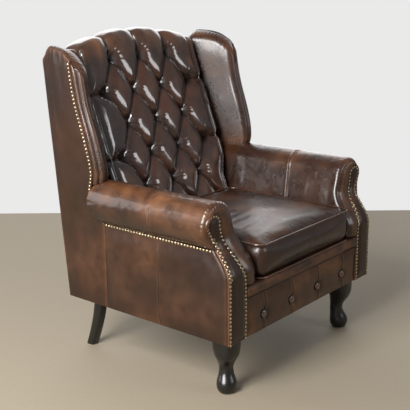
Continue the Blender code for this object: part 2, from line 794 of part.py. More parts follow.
def back_pad():
    """Stuffed inner back: raked front, rolled crest over the crest rail."""
    floor = DECK_TOP + GAP
    turn_z = TUFT_ROW_TOP + 0.010 - CREST_HEIGHT
    rail_z = -0.040 + PAD_FIT
    skin_z = -0.018

    def section(line):
        """(height, front depth, rear depth) from the floor to the crest at one place."""
        def front(z):
            return button_depth(z) - TUFT_SWELL

        def rear(z):
            return back_depth(z) - BACK_PAD_IN

        levels = []
        for z in spread(floor, line + rail_z, 10):
            levels.append((z, front(min(z, line + turn_z)), rear(z)))
        top_rear = back_depth(line) + 0.001

        def skin(z):
            return back_depth(line + z) - LEATHER - PAD_FIT

        ahead = front(line + turn_z)
        middle = 0.5 * (ahead + top_rear) + 0.006
        above_rail = rail_z + STEP_RISE
        above_skin = skin_z + STEP_RISE
        steps = (
            (above_rail, skin(above_rail)),
            (skin_z, skin(skin_z)),
            (above_skin, top_rear),
            (-0.008, top_rear),
        )
        for z, behind in steps:
            levels.append((line + z, crest_front(z), behind))
        levels.append((line - 0.002, middle - 0.018, top_rear - 0.008))
        levels.append((line, middle - 0.006, middle + 0.006))
        return levels

    def crest_front(z):
        """Depth of the crest's front, curling over from the raked face to the top."""
        ahead = button_depth(TUFT_ROW_TOP + 0.010) - TUFT_SWELL
        t = (z - turn_z) / -turn_z
        return ahead + 0.050 * t**3

    sides = [-BACK_PAD_HALF_TOP + 2 * BACK_PAD_HALF_TOP * k / 12 for k in range(13)]
    columns = [section(crest_line(x)) for x in sides]
    rings = []
    for level in range(len(columns[0])):
        front, rear = [], []
        for x, column in zip(sides, columns):
            z, ahead, behind = column[level]
            half = pad_half(z)
            at = x / BACK_PAD_HALF_TOP * half
            front.append(at_depth(at, ahead, z))
            rear.append(at_depth(at, behind, z))
        rings.append(front + rear[::-1])
    origin = at_depth(0.0, button_depth(DECK_TOP), floor)
    return loft("back_pad", rings, "leather", origin, smooth=35, paired=True)


def pad_half(z):
    """Half width of the back pad: narrow between the arms, wider between the wings."""
    t = min(max((z - PAD_WIDENS_AT) / PAD_WIDENS_OVER, 0.0), 1.0)
    return BACK_PAD_HALF + (BACK_PAD_HALF_TOP - BACK_PAD_HALF) * t * t * (3.0 - 2.0 * t)


def tuft_rows():
    """Button places (x, z) of each row, from the top."""
    rows = []
    for index, count in enumerate(TUFT_ROWS):
        z = TUFT_ROW_TOP - index * TUFT_ROW_PITCH
        rows.append([((k - (count - 1) / 2) * TUFT_PITCH, z) for k in range(count)])
    return rows


def tufted_back():
    pad = back_pad()
    cutters = bmesh.new()
    for row in tuft_rows():
        for place in row:
            plane = FRONT + button_depth(place[1])
            rear = FRONT + back_depth(place[1]) - BACK_PAD_IN
            floor = plane + TUFT_POCKET
            profile = pocket_profile(plane - 0.060, 0.058, floor, rear + 0.008)
            turned_into(cutters, profile, place, BUTTON_SIDES)
    combine(pad, cutters, "DIFFERENCE")
    for index, row in enumerate(tuft_rows(), start=1):
        z = row[0][1]
        twine_y = FRONT + back_depth(z) - BACK_PAD_IN + TWINE_RADIUS + GAP
        button_row(f"back_buttons_row_{index}", row, FRONT + button_depth(z) + 0.0005, twine_y)


def outer_back():
    """Flat leather panel between the outer wings, up to just under the crest."""
    outline = ((0.0, 0.0), (1.0, 0.0), (1.0, LEATHER), (0.0, LEATHER))

    def place(a, b, t):
        top = crest_line(t * back_half(0.96)) - 0.018 - GAP
        z = BODY_FLOOR + (top - BODY_FLOOR) * a
        half = back_half(z) - LEATHER - 3 * GAP
        return at_depth(t * half, back_depth(z) - b, z)

    sweep("outer_back", outline, spread(-1.0, 1.0, 13), place, "leather")


def arm_profile():
    """Outer and inner side of an arm pad's section, as (x, z), from the nails to the foot."""
    foot = DECK_TOP + ARM_PAD_LIFT
    start = math.degrees(math.asin((ARM_NAIL_Z - ARM_ROLL_Z) / ARM_ROLL_RADIUS))
    outer = arc((ARM_ROLL_X, ARM_ROLL_Z), ARM_ROLL_RADIUS, start, 160, 15)
    outer += [(ARM_HALF_INSIDE + 0.016, 0.490), (ARM_HALF_INSIDE + 0.004, 0.440)]
    outer += [(ARM_HALF_INSIDE, 0.400), (ARM_HALF_INSIDE, foot)]
    right = ARM_BOARD_OUTER + GAP
    left = FRAME_INSIDE - GAP
    over = ARM_BOARD_TOP + GAP
    inner = [(right, z) for z in spread(ARM_NAIL_Z, over, 5)]
    inner += [(x, over) for x in spread(right, left, 11)[1:]]
    inner += [(left, z) for z in (0.490, 0.440, 0.400, foot)]
    return outer, inner


def arm_pad(name, side):
    """Stuffed inside, roll and front edge of an arm, in one cover."""
    def place(x, z, t):
        start = facing_sweep(z) + (FACING_THICK + GAP if x > FRAME_INSIDE else ARM_FRONT_SETBACK)
        outer = min(max((x - 0.300) / 0.030, 0.0), 1.0)
        edge = along(WING_EDGE, z)[1] - ARM_TO_WING
        stop = ARM_BACK + (edge - ARM_BACK) * outer
        return at_depth(side * x, start + (stop - start) * t, z)

    pad = sheet(
        "arm_pad_" + name, arm_profile(), spread(0.0, 1.0, 5), place, "leather", smooth=40
    )
    wrap = bmesh.new()
    rings = []
    foot = DECK_TOP + ARM_PAD_LIFT
    for z in [foot] + [z for z in FACING_LEVELS if foot < z < ARM_BOARD_TOP] + [ARM_BOARD_TOP]:
        start = facing_sweep(z)
        near, far = start + ARM_FRONT_SETBACK, start + FACING_THICK
        inner, outer = along(ARM_WRAP_EDGE, z)[0], along(FACING_EDGES, z)[0] - GAP
        corners = ((inner, near), (outer, near), (outer, far), (inner, far))
        rings.append([at_depth(side * x, depth, z) for x, depth in corners])
    loft_into(wrap, rings)
    combine(pad, wrap, "UNION")


def arm_facing(name, side):
    """Board covered in leather on the front of an arm, leaning back to a round head."""
    rings = []
    for z in FACING_LEVELS:
        inner, outer = along(FACING_EDGES, z)
        front = facing_sweep(z)
        corners = ((inner, 0.0), (outer, 0.0), (outer, FACING_THICK), (inner, FACING_THICK))
        rings.append([at_depth(side * x, front + y, z) for x, y in corners])
    loft("arm_facing_" + name, rings, "leather", smooth=30)


def side_panel(name, side):
    """Outer arm: leather from the facing to the wing seam, under the roll's nails."""
    front = FACING_THICK + GAP
    top = ARM_NAIL_Z - GAP
    levels = [z for z in FACING_LEVELS if z < top] + [top]
    skin = ([(0.0, z) for z in levels], [(LEATHER, z) for z in levels])

    def place(inward, z, t):
        start = facing_sweep(z) + front
        stop = SIDE_SEAM - 2 * GAP
        depth = start + (stop - start) * t
        return at_depth(side * (flank(depth) - inward), depth, z)

    sheet("side_panel_" + name, skin, spread(0.0, 1.0, 5), place, "leather")


def outer_wing(name, side):
    """Leather from the rear corner of the body up and round to the wing's nail line."""
    steps = spread(0.0, 1.0, 7)
    skin = ([(s, 0.0) for s in steps], [(s, LEATHER) for s in steps])
    heights = [0.0, 0.32, 0.36, 0.40, 0.43, 0.46, 0.49, 0.52, 0.56] + spread(0.62, 1.0, 8)

    def place(s, inward, t):
        z = BODY_FLOOR + (wing_top(s) - BODY_FLOOR) * t
        return wing_point(side, s, inward, z)

    sheet("outer_wing_" + name, skin, heights, place, "leather")


def wing_pad(name, side):
    """Inner wing: slab along the board, nose ahead of the board's front edge."""
    board = WING_SKIN + WING_BOARD_THICK + WING_FIT
    nose = WING_NOSE / PAST_NAILS
    outside = [(s, board) for s in spread(0.26, 0.95, 5)]
    outside += [(0.95, WING_SKIN + WING_FIT), (1.0, WING_SKIN + WING_FIT)]
    outside += [(1.03, 0.0025), (1.0 + 0.8 * nose, 0.010), (1.0 + nose, 0.026)]
    inside = [(s, WING_PAD_IN) for s in spread(0.26, 0.92, 7)]
    inside += [(1.0, WING_PAD_IN - 0.002), (1.0 + 0.55 * nose, 0.048), (1.0 + 0.85 * nose, 0.038)]

    def place(s, inward, t):
        z = WING_FLOOR + (wing_top(s) - WING_FLOOR) * t
        return wing_point(side, s, inward, z)

    layers = (outside, inside)
    sheet("wing_pad_" + name, layers, spread(0.0, 1.0, 10), place, "leather", smooth=40)


def dust_cover():
    """Cloth under the seat frame, notched round the legs."""
    depth = BODY_DEPTH - 0.010
    front_y = FRONT_LEG_Y + 0.046
    front_x = FRONT_LEG_X - 0.046
    rear_y = REAR_LEG_Y - 0.026
    rear_x = REAR_LEG_X - 0.026
    start = BORDER_SETBACK + BORDER_THICK + 0.001
    edge = flank(BODY_DEPTH) - LEATHER - 0.002
    half = [
        (front_x, start),
        (front_x, front_y),
        (edge, front_y),
        (edge, rear_y),
        (rear_x, rear_y),
        (rear_x, depth),
    ]
    outline = half + [(-x, y) for x, y in reversed(half)]
    top = RAIL_FLOOR - GAP

    def place(a, b, z):
        return at_depth(a, b, z)

    sweep("dust_cover", outline, (top - 0.0012, top), place, "dust_cloth")


# ------------------------------------------------------------------- cushion
def cushion_ring(inset, z, grow):
    """Rounded rectangle of the cushion at a height, grown inwards by grow."""
    half = CUSHION_HALF - inset - grow
    front = CUSHION_FRONT + inset + grow
    back = CUSHION_BACK - inset - grow
    corner = max(CUSHION_CORNER - grow, 0.006)
    corners = (
        (half - corner, back - corner, 0),
        (-half + corner, back - corner, 90),
        (-half + corner, front + corner, 180),
        (half - corner, front + corner, 270),
    )
    ring = []
    for cx, cy, start in corners:
        ring += [at_depth(a, b, z) for a, b in arc((cx, cy), corner, start, start + 90, 5)]
    return ring


def cushion_rings(grow):
    floor = DECK_TOP + GAP + grow
    seam = CUSHION_SEAM_Z
    crown = CUSHION_CROWN
    return [
        cushion_ring(0.060, floor, grow),
        cushion_ring(0.006, floor, grow),
        cushion_ring(0.0, floor + 0.008, grow),
        cushion_ring(0.0, seam - grow, grow),
        cushion_ring(0.030, seam + 0.45 * crown - grow, grow),
        cushion_ring(0.090, seam + 0.85 * crown - grow, grow),
        cushion_ring(0.150, seam + crown - grow, grow),
    ]


def seat_cushion():
    """Loose cushion: a cover with its zip opening at the back, and the foam in it."""
    origin = at_depth(0.0, 0.5 * (CUSHION_FRONT + CUSHION_BACK), DECK_TOP + GAP)
    cover = loft("cushion_cover", cushion_rings(0.0), "leather", origin, smooth=40)
    hollow = bmesh.new()
    loft_into(hollow, cushion_rings(COVER_WALL))
    combine(cover, hollow, "DIFFERENCE")
    loft("cushion_core", cushion_rings(COVER_WALL + GAP), "foam", origin, smooth=40)

    zip_z = 0.5 * (DECK_TOP + CUSHION_SEAM_Z)
    back = FRONT + CUSHION_BACK
    slot = bmesh.new()
    size = Matrix.Diagonal((ZIP_LENGTH, ZIP_DEEP, ZIP_WIDE, 1.0))
    place = Matrix.Translation((0.0, back, zip_z)) @ size
    bmesh.ops.create_cube(slot, size=1.0, matrix=place)
    combine(cover, slot, "DIFFERENCE")


# ------------------------------------------------------------------ nail trim
def strip(name, path):
    """Flat strip along (point, sideways, outward) stations, just proud of the leather."""
    rings = []
    for point, sideways, outward in path:
        edge = sideways.normalized() * NAIL_STRIP_WIDTH / 2
        low = point + outward.normalized() * NAIL_STRIP_FIT
        high = low + outward.normalized() * NAIL_STRIP_PROUD
        rings.append([low - edge, low + edge, high + edge, high - edge])
    loft(name, rings, "brass")


def facing_nails(name, side):
    """Up the outer edge of a facing, round its head and down the inner edge."""
    inset = 0.0055
    levels = [BODY_FLOOR + 0.004] + FACING_LEVELS[1:-3]
    outer, inner = [], []
    for z in levels:
        edge_in, edge_out = along(FACING_EDGES, z)
        outer.append(Vector((edge_out - inset, z)))
        inner.append(Vector((edge_in + inset, z)))
    head = arc((FACING_HEAD_X, FACING_HEAD_Z), FACING_HEAD_RADIUS - inset, 40, 140, 6)
    line = outer + [Vector(point) for point in head] + inner[::-1]
    path = []
    for index, spot in enumerate(line):
        run = line[min(index + 1, len(line) - 1)] - line[max(index - 1, 0)]
        sideways = Vector((side * -run.y, 0.0, run.x))
        place = at_depth(side * spot.x, facing_sweep(spot.y), spot.y)
        lean = facing_sweep(spot.y + 0.005) - facing_sweep(spot.y - 0.005)
        path.append((place, sideways, Vector((0.0, -0.010, lean))))
    strip("facing_nails_" + name, path)


def side_nails(name, side):
    """Down the wing's front edge, behind the roll and forward along the arm."""
    path = []
    for z in spread(0.950, 0.482, 16):
        place = wing_point(side, 0.965, 0.0, z)
        edge = Vector(along(WING_EDGE, z)) - Vector((back_half(z), back_depth(z)))
        outward = Vector((side * -edge.y, edge.x, 0.0))
        path.append((place, outward.cross(Vector((0.0, 0.0, 1.0))), outward))
    z = ARM_NAIL_Z - 0.006
    for depth in (0.499, 0.380, 0.270, 0.160, 0.070):
        place = at_depth(side * flank(depth), depth, z)
        path.append((place, Vector((0.0, 0.0, side)), Vector((side, 0.0, 0.0))))
    strip("side_nails_" + name, path)


# ----------------------------------------------------------------------- main
def main():
    for obj in list(bpy.data.objects):
        bpy.data.objects.remove(obj)
    seat_frame()
    back_frame()
    for name, side in SIDES:
        front_leg(name, side)
        rear_leg(name, side)
        arm_frame(name, side)
        wing_frame(name, side)
        arm_pad(name, side)
        arm_facing(name, side)
        side_panel(name, side)
        outer_wing(name, side)
        wing_pad(name, side)
        facing_nails(name, side)
        side_nails(name, side)
    for index in range(SPRING_COUNT):
        seat_spring(index + 1, (index - (SPRING_COUNT - 1) / 2) * SPRING_PITCH)
    back_support()
    seat_deck()
    front_lip()
    front_border()
    tufted_back()
    outer_back()
    dust_cover()
    seat_cushion()


main()
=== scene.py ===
"""Looks of a wing-back armchair in antique leather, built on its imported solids.

Metres, +Z up, front towards -Y. Depths are measured from the plane of the arm facings
towards the back. Every soft piece is a closed body between its visible leather and a
hidden side against the frame.
"""

import json
import logging
import math
from collections.abc import Sequence
from dataclasses import dataclass
from enum import Enum

import bpy
import numpy as np
from mathutils import Matrix, Vector

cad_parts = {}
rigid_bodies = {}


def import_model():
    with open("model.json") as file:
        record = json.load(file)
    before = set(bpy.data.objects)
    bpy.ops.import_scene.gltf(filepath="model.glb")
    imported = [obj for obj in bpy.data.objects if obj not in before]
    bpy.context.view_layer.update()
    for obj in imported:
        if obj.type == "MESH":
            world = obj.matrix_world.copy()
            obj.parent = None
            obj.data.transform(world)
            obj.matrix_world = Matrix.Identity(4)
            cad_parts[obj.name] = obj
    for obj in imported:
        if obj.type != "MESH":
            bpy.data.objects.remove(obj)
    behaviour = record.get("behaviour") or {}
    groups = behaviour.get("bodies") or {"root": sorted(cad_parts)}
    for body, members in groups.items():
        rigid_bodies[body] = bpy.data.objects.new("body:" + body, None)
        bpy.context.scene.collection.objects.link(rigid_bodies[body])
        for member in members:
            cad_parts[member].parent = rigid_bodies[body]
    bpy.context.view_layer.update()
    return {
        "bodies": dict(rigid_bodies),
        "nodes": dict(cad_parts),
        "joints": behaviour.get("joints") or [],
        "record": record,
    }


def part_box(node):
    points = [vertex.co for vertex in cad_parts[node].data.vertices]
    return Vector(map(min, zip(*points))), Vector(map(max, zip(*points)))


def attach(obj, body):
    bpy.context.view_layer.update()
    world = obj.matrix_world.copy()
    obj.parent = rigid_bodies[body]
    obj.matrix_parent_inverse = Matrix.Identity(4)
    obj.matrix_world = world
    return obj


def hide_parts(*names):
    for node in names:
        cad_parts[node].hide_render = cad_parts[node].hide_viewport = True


LOG = logging.getLogger("armchair")
CHAIR = "chair"
CUSHION = "seat_cushion"
FAR_OFF = 9.0


class Side(Enum):
    """Left or right half of the chair, seen from the front."""

    LEFT = -1
    RIGHT = 1

    @property
    def word(self) -> str:
        """The side's name, as node names end."""
        return self.name.lower()


class Slot(Enum):
    """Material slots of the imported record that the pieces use."""

    LEATHER = "leather"
    LEG_WOOD = "leg_wood"
    BRASS = "brass"
    FOAM = "foam"
    DUST_CLOTH = "dust_cloth"


# ------------------------------------------------------------------ reference lines
class Curve:
    """Smooth line through given (position, value...) points, level where it turns."""

    def __init__(self, points: Sequence[Sequence[float]]) -> None:
        """Tabulates the line.

        Args:
            points: rows of a position and one or more values, in rising position.
        """
        rows = np.array(points, float)
        self.at = np.linspace(rows[0, 0], rows[-1, 0], 1201)
        self.values = np.stack([self._column(rows, k) for k in range(1, rows.shape[1])], -1)

    def _column(self, rows: np.ndarray, k: int) -> np.ndarray:
        """Values of one column at the table's positions."""
        at, value = rows[:, 0], rows[:, k]
        slope = np.zeros(len(at))
        for i in range(len(at)):
            low, high = max(i - 1, 0), min(i + 1, len(at) - 1)
            if low == i or high == i or (value[i] - value[low]) * (value[high] - value[i]) > 0:
                slope[i] = (value[high] - value[low]) / (at[high] - at[low])
        i = np.clip(np.searchsorted(at, self.at, side="right") - 1, 0, len(at) - 2)
        span = at[i + 1] - at[i]
        t = (self.at - at[i]) / span
        return (
            (2 * t**3 - 3 * t**2 + 1) * value[i]
            + (t**3 - 2 * t**2 + t) * slope[i] * span
            + (3 * t**2 - 2 * t**3) * value[i + 1]
            + (t**3 - t**2) * slope[i + 1] * span
        )

    def __call__(self, position: np.ndarray, column: int = 0) -> np.ndarray:
        """Value of one column at the given positions."""
        return np.interp(position, self.at, self.values[:, column])


def smooth(t: np.ndarray) -> np.ndarray:
    """Smoothstep of a value, held between 0 and 1."""
    t = np.clip(t, 0.0, 1.0)
    return t * t * (3.0 - 2.0 * t)


def hump(distance: np.ndarray, reach: float) -> np.ndarray:
    """Bell that is 1 at distance 0 and fades over reach."""
    return np.exp(-((distance / reach) ** 2))


def roll_in(distance: np.ndarray, radius: float) -> np.ndarray:
    """How far a rounded edge of that radius falls away, by distance in from the edge."""
    left = np.clip(radius - distance, 0.0, radius)
    return radius - np.sqrt(radius**2 - left**2)


def noise(points: np.ndarray, size: float, seed: int) -> np.ndarray:
    """Smooth value noise from -1 to 1.

    Args:
        points: places, last axis of three.
        size: distance over which it changes, in metres.
        seed: picks one of many patterns.

    Returns:
        One value for each place.
    """
    scaled = points / size + seed * 19.19
    cell = np.floor(scaled).astype(np.int64)
    t = scaled - cell
    t = t * t * (3.0 - 2.0 * t)
    total = np.zeros(points.shape[:-1])
    for dx in (0, 1):
        for dy in (0, 1):
            for dz in (0, 1):
                mixed = (cell[..., 0] + dx) * 73856093
                mixed ^= (cell[..., 1] + dy) * 19349663
                mixed ^= (cell[..., 2] + dz) * 83492791
                mixed = (mixed ^ (mixed >> 13)) * 1274126177
                value = ((mixed ^ (mixed >> 16)) & 0xFFFF) / 32767.5 - 1.0
                weight = np.abs(1 - dx - t[..., 0]) * np.abs(1 - dy - t[..., 1])
                total += value * weight * np.abs(1 - dz - t[..., 2])
    return total


def ripples(
    along: np.ndarray, pitch: float, wander: float, places: np.ndarray, size: float, seed: int
) -> np.ndarray:
    """Waves along a direction, their spacing unsettled by noise.

    Args:
        along: position along the direction.
        pitch: usual distance from crest to crest.
        wander: how far the noise shifts them, in radians.
        places: where the noise is read.
        size: distance over which the noise changes.
        seed: picks the noise's pattern.

    Returns:
        Heights from -1 to 1.
    """
    return np.sin(along / pitch * 2 * np.pi + wander * noise(places, size, seed))


def run_along(line: np.ndarray) -> np.ndarray:
    """Length along a line at each of its points."""
    return np.concatenate([[0.0], np.cumsum(np.linalg.norm(np.diff(line, axis=0), axis=1))])


@dataclass(frozen=True)
class Lines:
    """Outlines that the upholstery follows, as the frame under it does."""

    front: float = -0.398
    floor: float = 0.188
    deck: float = 0.3528
    side_seam: float = 0.500
    mid_seam: float = 0.268
    nail_z: float = 0.4715
    roll_x: float = 0.365
    roll_z: float = 0.535
    roll_radius: float = 0.070
    facing_top: float = 0.575
    rake: float = 0.370
    body_depth: float = 0.681

    def flank(self, depth: np.ndarray) -> np.ndarray:
        """Half width of the body at a depth."""
        return 0.400 - 0.018355 * depth

    def back_depth(self, z: np.ndarray) -> np.ndarray:
        """Depth of the outer back at a height."""
        return self.body_depth + 0.1386 * (z - self.floor)

    def back_half(self, z: np.ndarray) -> np.ndarray:
        """Half width between the rear edges of the outer wings."""
        return 0.3875 - 0.0353 * (z - self.floor)

    def crest(self, x: np.ndarray) -> np.ndarray:
        """Height of the top outline at a distance from the middle."""
        return 1.040 - 0.56 * x * x

    def sweep(self, z: np.ndarray) -> np.ndarray:
        """How far an arm's front has leaned back at a height."""
        return 0.062 * smooth((z - 0.385) / 0.125)

    def button_depth(self, z: np.ndarray) -> np.ndarray:
        """Depth of the plane of the back's buttons."""
        return 0.5418 + self.rake * (z - 0.500)

    def wing(self, side: Side, s: np.ndarray, inward: np.ndarray, z: np.ndarray) -> np.ndarray:
        """Place on a wing.

        Args:
            side: which wing.
            s: 0 at the rear edge, 1 at the nail line, beyond 1 by 0.2 m for each unit.
            inward: distance in from the outer leather.
            z: height.

        Returns:
            Points, last axis of three.
        """
        s, inward, z = np.broadcast_arrays(s, inward, z)
        rear = np.stack([self.back_half(z), self.back_depth(z)], -1)
        edge = np.stack([WING_EDGE(z, 0), WING_EDGE(z, 1)], -1)
        run = edge - rear
        run_unit = run / np.linalg.norm(run, axis=-1, keepdims=True)
        inwards = np.stack([run_unit[..., 1], -run_unit[..., 0]], -1)
        place = rear + run * np.minimum(s, 1.0)[..., None] + inwards * inward[..., None]
        place = place + run_unit * (np.maximum(s - 1.0, 0.0) * 0.2)[..., None]
        return np.stack([side.value * place[..., 0], self.front + place[..., 1], z], -1)


LINES = Lines()

# height, half width, depth of the outer wing's front edge
WING_EDGE = Curve(
    (
        (0.188, 0.3908, 0.500),
        (0.4715, 0.3908, 0.500),
        (0.500, 0.3955, 0.524),
        (0.530, 0.4000, 0.540),
        (0.565, 0.4030, 0.544),
        (0.630, 0.4070, 0.530),
        (0.720, 0.4100, 0.548),
        (0.850, 0.4100, 0.590),
        (0.985, 0.4100, 0.613),
    )
)
# place from a wing's rear edge to its nail line, height of its top
WING_TOP = Curve(((0.0, 0.967), (0.35, 1.010), (0.75, 1.002), (1.0, 0.975), (1.2, 0.935)))
# height, inner edge, outer edge of an arm facing
FACING_EDGE = Curve(
    (
        (0.188, 0.3155, 0.4000),
        (0.330, 0.3155, 0.4000),
        (0.385, 0.3185, 0.4000),
        (0.430, 0.3290, 0.3970),
        (0.480, 0.3430, 0.3960),
        (0.510, 0.3525, 0.4090),
        (0.530, 0.3580, 0.4220),
        (0.543, 0.3590, 0.4250),
        (0.556, 0.3615, 0.4225),
        (0.567, 0.3700, 0.4140),
        (0.575, 0.3860, 0.3980),
    )
)


# ------------------------------------------------------------------ building pieces
def at_depth(x: np.ndarray, depth: np.ndarray, z: np.ndarray) -> np.ndarray:
    """Points from half width, depth behind the facings and height."""
    x, depth, z = np.broadcast_arrays(x, depth, z)
    return np.stack([x, LINES.front + depth, z], -1)


def stations(start: float, stop: float, step: float, close: Sequence = ()) -> np.ndarray:
    """Positions along a piece, closer together round its seams and edges.

    Args:
        start: first position.
        stop: last position.
        step: usual distance.
        close: (centre, reach, step) of each place that needs finer steps.

    Returns:
        Rising positions, both ends included.
    """
    places = [start]
    while places[-1] < stop:
        here = places[-1]
        stride = step
        for centre, reach, fine in close:
            away = max(abs(here + 0.5 * fine - centre) - reach, 0.0)
            stride = min(stride, fine + 0.35 * away)
        places.append(here + stride)
    places[-1] = stop
    if len(places) > 2 and places[-1] - places[-2] < 0.06 * step:
        del places[-2]
    return np.array(places)


def drawn_line(points: Sequence[Sequence[float]], count: int) -> np.ndarray:
    """Evenly spaced points on a smooth line through the given ones.

    Args:
        points: corners of the line, any number of coordinates.
        count: how many points to return.

    Returns:
        Array of count points.
    """
    rows = np.array(points, float)
    extended = np.vstack([2 * rows[0] - rows[1], rows, 2 * rows[-1] - rows[-2]])
    dense = []
    for i in range(1, len(extended) - 2):
        p0, p1, p2, p3 = extended[i - 1 : i + 3]
        t = np.linspace(0.0, 1.0, 24, endpoint=False)[:, None]
        dense.append(
            0.5
            * (
                2 * p1
                + (p2 - p0) * t
                + (2 * p0 - 5 * p1 + 4 * p2 - p3) * t**2
                + (3 * p1 - p0 - 3 * p2 + p3) * t**3
            )
        )
    line = np.vstack([*dense, rows[-1:]])
    return evenly(line, count)


def evenly(line: np.ndarray, count: int) -> np.ndarray:
    """The same line with evenly spaced points."""
    far = run_along(line)
    want = np.linspace(0.0, far[-1], count)
    return np.stack([np.interp(want, far, line[:, k]) for k in range(line.shape[1])], -1)


def grid_normals(grid: np.ndarray, away_from: np.ndarray) -> np.ndarray:
    """Unit normals of a grid of points, pointing away from its hidden side."""
    normal = np.cross(np.gradient(grid, axis=0), np.gradient(grid, axis=1))
    normal /= np.maximum(np.linalg.norm(normal, axis=-1, keepdims=True), 1e-12)
    if (normal * (grid - away_from)).sum() < 0.0:
        normal = -normal
    return normal


def mesh_object(name: str, points: np.ndarray, faces: list) -> bpy.types.Object:
    """New object at the origin with a closed mesh, its faces pointing outwards.

    Args:
        name: of the object and its mesh.
        points: rows of three.
        faces: point numbers of each face.

    Returns:
        The object, active and selected.
    """
    mesh = bpy.data.meshes.new(name)
    mesh.from_pydata(points.tolist(), [], faces)
    mesh.update()
    obj = bpy.data.objects.new(name, mesh)
    bpy.context.scene.collection.objects.link(obj)
    select_only(obj)
    edit_all()
    bpy.ops.mesh.normals_make_consistent(inside=False)
    bpy.ops.object.mode_set(mode="OBJECT")
    bpy.ops.object.shade_smooth()
    mesh.set_sharp_from_angle(angle=math.radians(52))
    return obj


def deselect() -> None:
    """Clears the selection."""
    bpy.ops.object.select_all(action="DESELECT")


def edit_all() -> None:
    """Edit mode with everything selected."""
    bpy.ops.object.mode_set(mode="EDIT")
    bpy.ops.mesh.select_all(action="SELECT")


def points_of(obj: bpy.types.Object) -> np.ndarray:
    """Places of a mesh's points."""
    return np.array([vertex.co[:] for vertex in obj.data.vertices])


def subdivided(obj: bpy.types.Object, levels: int) -> None:
    """Rounds the active mesh with an applied subdivision surface."""
    smoother = obj.modifiers.new("Subdivision", "SUBSURF")
    smoother.levels = smoother.render_levels = levels
    bpy.ops.object.modifier_apply(modifier=smoother.name)


def select_only(obj: bpy.types.Object) -> None:
    """Makes obj active and the only selected object."""
    deselect()
    obj.select_set(True)
    bpy.context.view_layer.objects.active = obj


def paint(obj: bpy.types.Object, name: str, values: np.ndarray | float) -> None:
    """Stores one number for each point, for the finish to read.

    Args:
        obj: the mesh.
        name: the attribute's name.
        values: one for each of its first points, or one for them all.
    """
    full = np.zeros(len(obj.data.vertices), np.float32)
    full[: np.size(values) if np.ndim(values) else None] = np.ravel(values)
    attribute = obj.data.attributes.new(name, "FLOAT", "POINT")
    attribute.data.foreach_set("value", full)


def stuffed(
    name: str, outer: np.ndarray, inner: np.ndarray, front_rungs: np.ndarray | None = None
) -> bpy.types.Object:
    """Closed body between a visible and a hidden grid of the same size.

    Args:
        name: the piece's name.
        outer: visible points, rows by columns by three.
        inner: hidden points, the same shape.
        front_rungs: points between the first rows, rungs by columns by three.

    Returns:
        The new object; its first points are the visible ones.
    """
    rows, columns = outer.shape[:2]
    points = [outer.reshape(-1, 3), inner.reshape(-1, 3)]
    seen = np.arange(rows * columns).reshape(rows, columns)
    unseen = seen + rows * columns
    ladder = [seen[0]]
    if front_rungs is not None:
        points.append(front_rungs.reshape(-1, 3))
        extra = np.arange(front_rungs.shape[0] * columns).reshape(-1, columns)
        ladder += list(extra + 2 * rows * columns)
    ladder.append(unseen[0])
    faces = []

    def quads(grid: np.ndarray, turned: bool) -> None:
        """Adds the faces of one grid of point numbers."""
        corners = [grid[:-1, :-1], grid[1:, :-1], grid[1:, 1:], grid[:-1, 1:]]
        if turned:
            corners.reverse()
        faces.extend(np.stack([c.ravel() for c in corners], -1).tolist())

    quads(seen, False)
    quads(unseen, True)
    quads(np.stack(ladder), True)
    quads(np.stack([seen[-1], unseen[-1]]), False)
    for column, turned in ((0, False), (-1, True)):
        edge_seen, edge_unseen = seen[:, column], unseen[:, column]
        quads(np.stack([edge_seen[1:], edge_unseen[1:]], 0), turned)
        corner = [int(row[column]) for row in ladder]
        corner += [int(edge_unseen[1]), int(edge_seen[1])]
        faces.append(corner if turned else corner[::-1])
    return mesh_object(name, np.vstack(points), faces)


def tube(name: str, line: np.ndarray, radius: float, sides: int = 8) -> bpy.types.Object:
    """Round cord with closed ends, as a mesh.

    Args:
        name: of the object.
        line: points of its middle.
        radius: of the cord.
        sides: of its round section.

    Returns:
        The new object.
    """
    curve = bpy.data.curves.new(name, "CURVE")
    curve.dimensions = "3D"
    curve.bevel_depth = radius
    curve.bevel_resolution = max(sides // 2 - 2, 0)
    curve.use_fill_caps = True
    spline = curve.splines.new("POLY")
    spline.points.add(len(line) - 1)
    spline.points.foreach_set("co", np.column_stack([line, np.ones(len(line))]).ravel())
    obj = bpy.data.objects.new(name, curve)
    bpy.context.scene.collection.objects.link(obj)
    select_only(obj)
    bpy.ops.object.convert(target="MESH")
    bpy.ops.object.shade_smooth()
    return obj


def joined(name: str, pieces: Sequence[bpy.types.Object]) -> bpy.types.Object:
    """One object from several.

    Args:
        name: of the result.
        pieces: what is joined; the first one stays.

    Returns:
        That object.
    """
    deselect()
    for piece in pieces:
        piece.select_set(True)
    bpy.context.view_layer.objects.active = pieces[0]
    if len(pieces) > 1:
        bpy.ops.object.join()
    pieces[0].name = name
    pieces[0].data.name = name
    return pieces[0]


def repeated(
    name: str, model: bpy.types.Object, frames: Sequence[Matrix]
) -> bpy.types.Object:
    """Copies of one modelled shape at many places, in one mesh; the model is removed.

    Args:
        name: the new piece's name.
        model: the shape, at the origin.
        frames: where each copy goes.

    Returns:
        The new object.
    """
    points = points_of(model)
    faces = [list(p.vertices) for p in model.data.polygons]
    all_points, all_faces = [], []
    for k, frame in enumerate(frames):
        turn = np.array(frame)
        all_points.append(points @ turn[:3, :3].T + turn[:3, 3])
        all_faces += [[i + k * len(points) for i in face] for face in faces]
    bpy.data.objects.remove(model)
    return mesh_object(name, np.vstack(all_points), all_faces)


def facing_frame(place: np.ndarray, outward: np.ndarray, size: float = 1.0) -> Matrix:
    """Places a shape that looks along +Z so that it looks outward instead."""
    turn = Vector(outward).to_track_quat("Z", "Y").to_matrix().to_4x4()
    return Matrix.Translation(Vector(place)) @ turn @ Matrix.Scale(size, 4)


